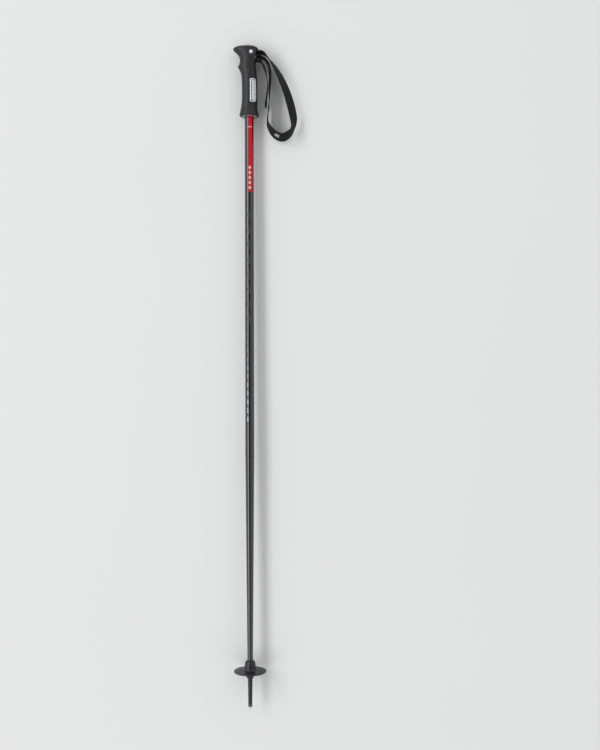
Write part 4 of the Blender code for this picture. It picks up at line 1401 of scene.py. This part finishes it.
middle_height = (packed_low.z + packed_high.z) / 2
corners = []
for right, up in ((-1, -1), (1, -1), (1, 1), (-1, 1)):
    height = middle_height + up * BACKDROP_HALF
    corners.append((right * BACKDROP_HALF, behind_at(height), height))
sheet = bpy.data.meshes.new("backdrop")
sheet.from_pydata(corners, [], [(0, 1, 2, 3)])
sheet.materials.append(pale_paper())
backdrop = add_object("backdrop", sheet)
print("surface behind the head, mm:", round(behind_at(HEAD_HEIGHT) * 1000, 1))

# %% [markdown]
# ## Light
#
# A dark glossy tube shows its lights more than its colour. A tall soft lamp to the left draws one clean
# bright line down it, the dark room in front draws the black line beside it, and the pale room to the right
# fills the rest. The room is the world: darker in the middle of the near side, and pale elsewhere. To the
# eye it is plain pale grey.

# %% The room and the lamp
ROOM_DARK_TOWARDS = (0.05, -1.0, 0.0)
ROOM_DARK_INNER = 12  # degrees from the middle of the dark patch
ROOM_DARK_OUTER = 24
ROOM_DARK = 0.0
ROOM_PALE = 0.84
ROOM_SEEN = 0.74
LAMP_TURN = math.radians(-42)  # from the near side; below zero is towards the front of the grip
LAMP_FAR = 9.0
LAMP_HEIGHT = 1.5
LAMP_WIDE = 2.6
LAMP_TALL = 12.6
LAMP_RADIANCE = 3.9
LAMP_AIM = Vector((0, 0, 0.6))


def pale_room():
    """A pale world, dark in a round patch on the near side. Seen directly it is plain."""
    world = bpy.data.worlds.new("pale_room")
    sky = Mixer(world)
    to_eye = sky.node("TexCoord", {}, {}, "Generated")
    facing = sky.node("VectorMath", {"operation": "DOT_PRODUCT"}, {0: to_eye, 1: ROOM_DARK_TOWARDS}, "Value")
    outer, inner = (math.cos(math.radians(angle)) for angle in (ROOM_DARK_OUTER, ROOM_DARK_INNER))
    lit = sky.ramp(facing, outer, inner, ROOM_PALE, ROOM_DARK)
    seen = sky.node("LightPath", {}, {}, "Is Camera Ray")
    strength = sky.node("Mix", {}, {0: seen, 2: lit, 3: ROOM_SEEN})
    sky.feed(sky.tree.nodes["Background"], {"Color": (1.0, 1.0, 1.0), "Strength": strength})
    return world


bpy.context.scene.world = pale_room()
light = bpy.data.lights.new("tall_lamp", "AREA")
light.shape = "RECTANGLE"
light.size = LAMP_WIDE
light.size_y = LAMP_TALL
# An area light's power is four times its radiance times its area.
light.energy = 4 * LAMP_RADIANCE * LAMP_WIDE * LAMP_TALL
tall_lamp = add_object("tall_lamp", light)
tall_lamp.location = (LAMP_FAR * math.sin(LAMP_TURN), -LAMP_FAR * math.cos(LAMP_TURN), LAMP_HEIGHT)
tall_lamp.rotation_euler = (LAMP_AIM - tall_lamp.location).to_track_quat("-Z", "Y").to_euler()
print("room and lamp set")

# %% [markdown]
# ## Camera
#
# The camera looks straight at the pole from the near side, at half its height, far enough to keep its lines
# parallel. It stands a little to the rear side and is turned by a tenth of a degree, which leans the pole by
# as much.

# %% Place the camera
CAMERA_PLACE = (0.091, -1.8, 0.605)
CAMERA_ROLL = math.radians(0.1)
camera_data = bpy.data.cameras.new("camera")
camera_data.lens = 47.76
camera_data.sensor_width = 36
camera = add_object("camera", camera_data)
camera.location = CAMERA_PLACE
camera.rotation_euler = (math.pi / 2, CAMERA_ROLL, 0)
bpy.context.scene.camera = camera
bpy.context.scene.view_settings.view_transform = "Standard"
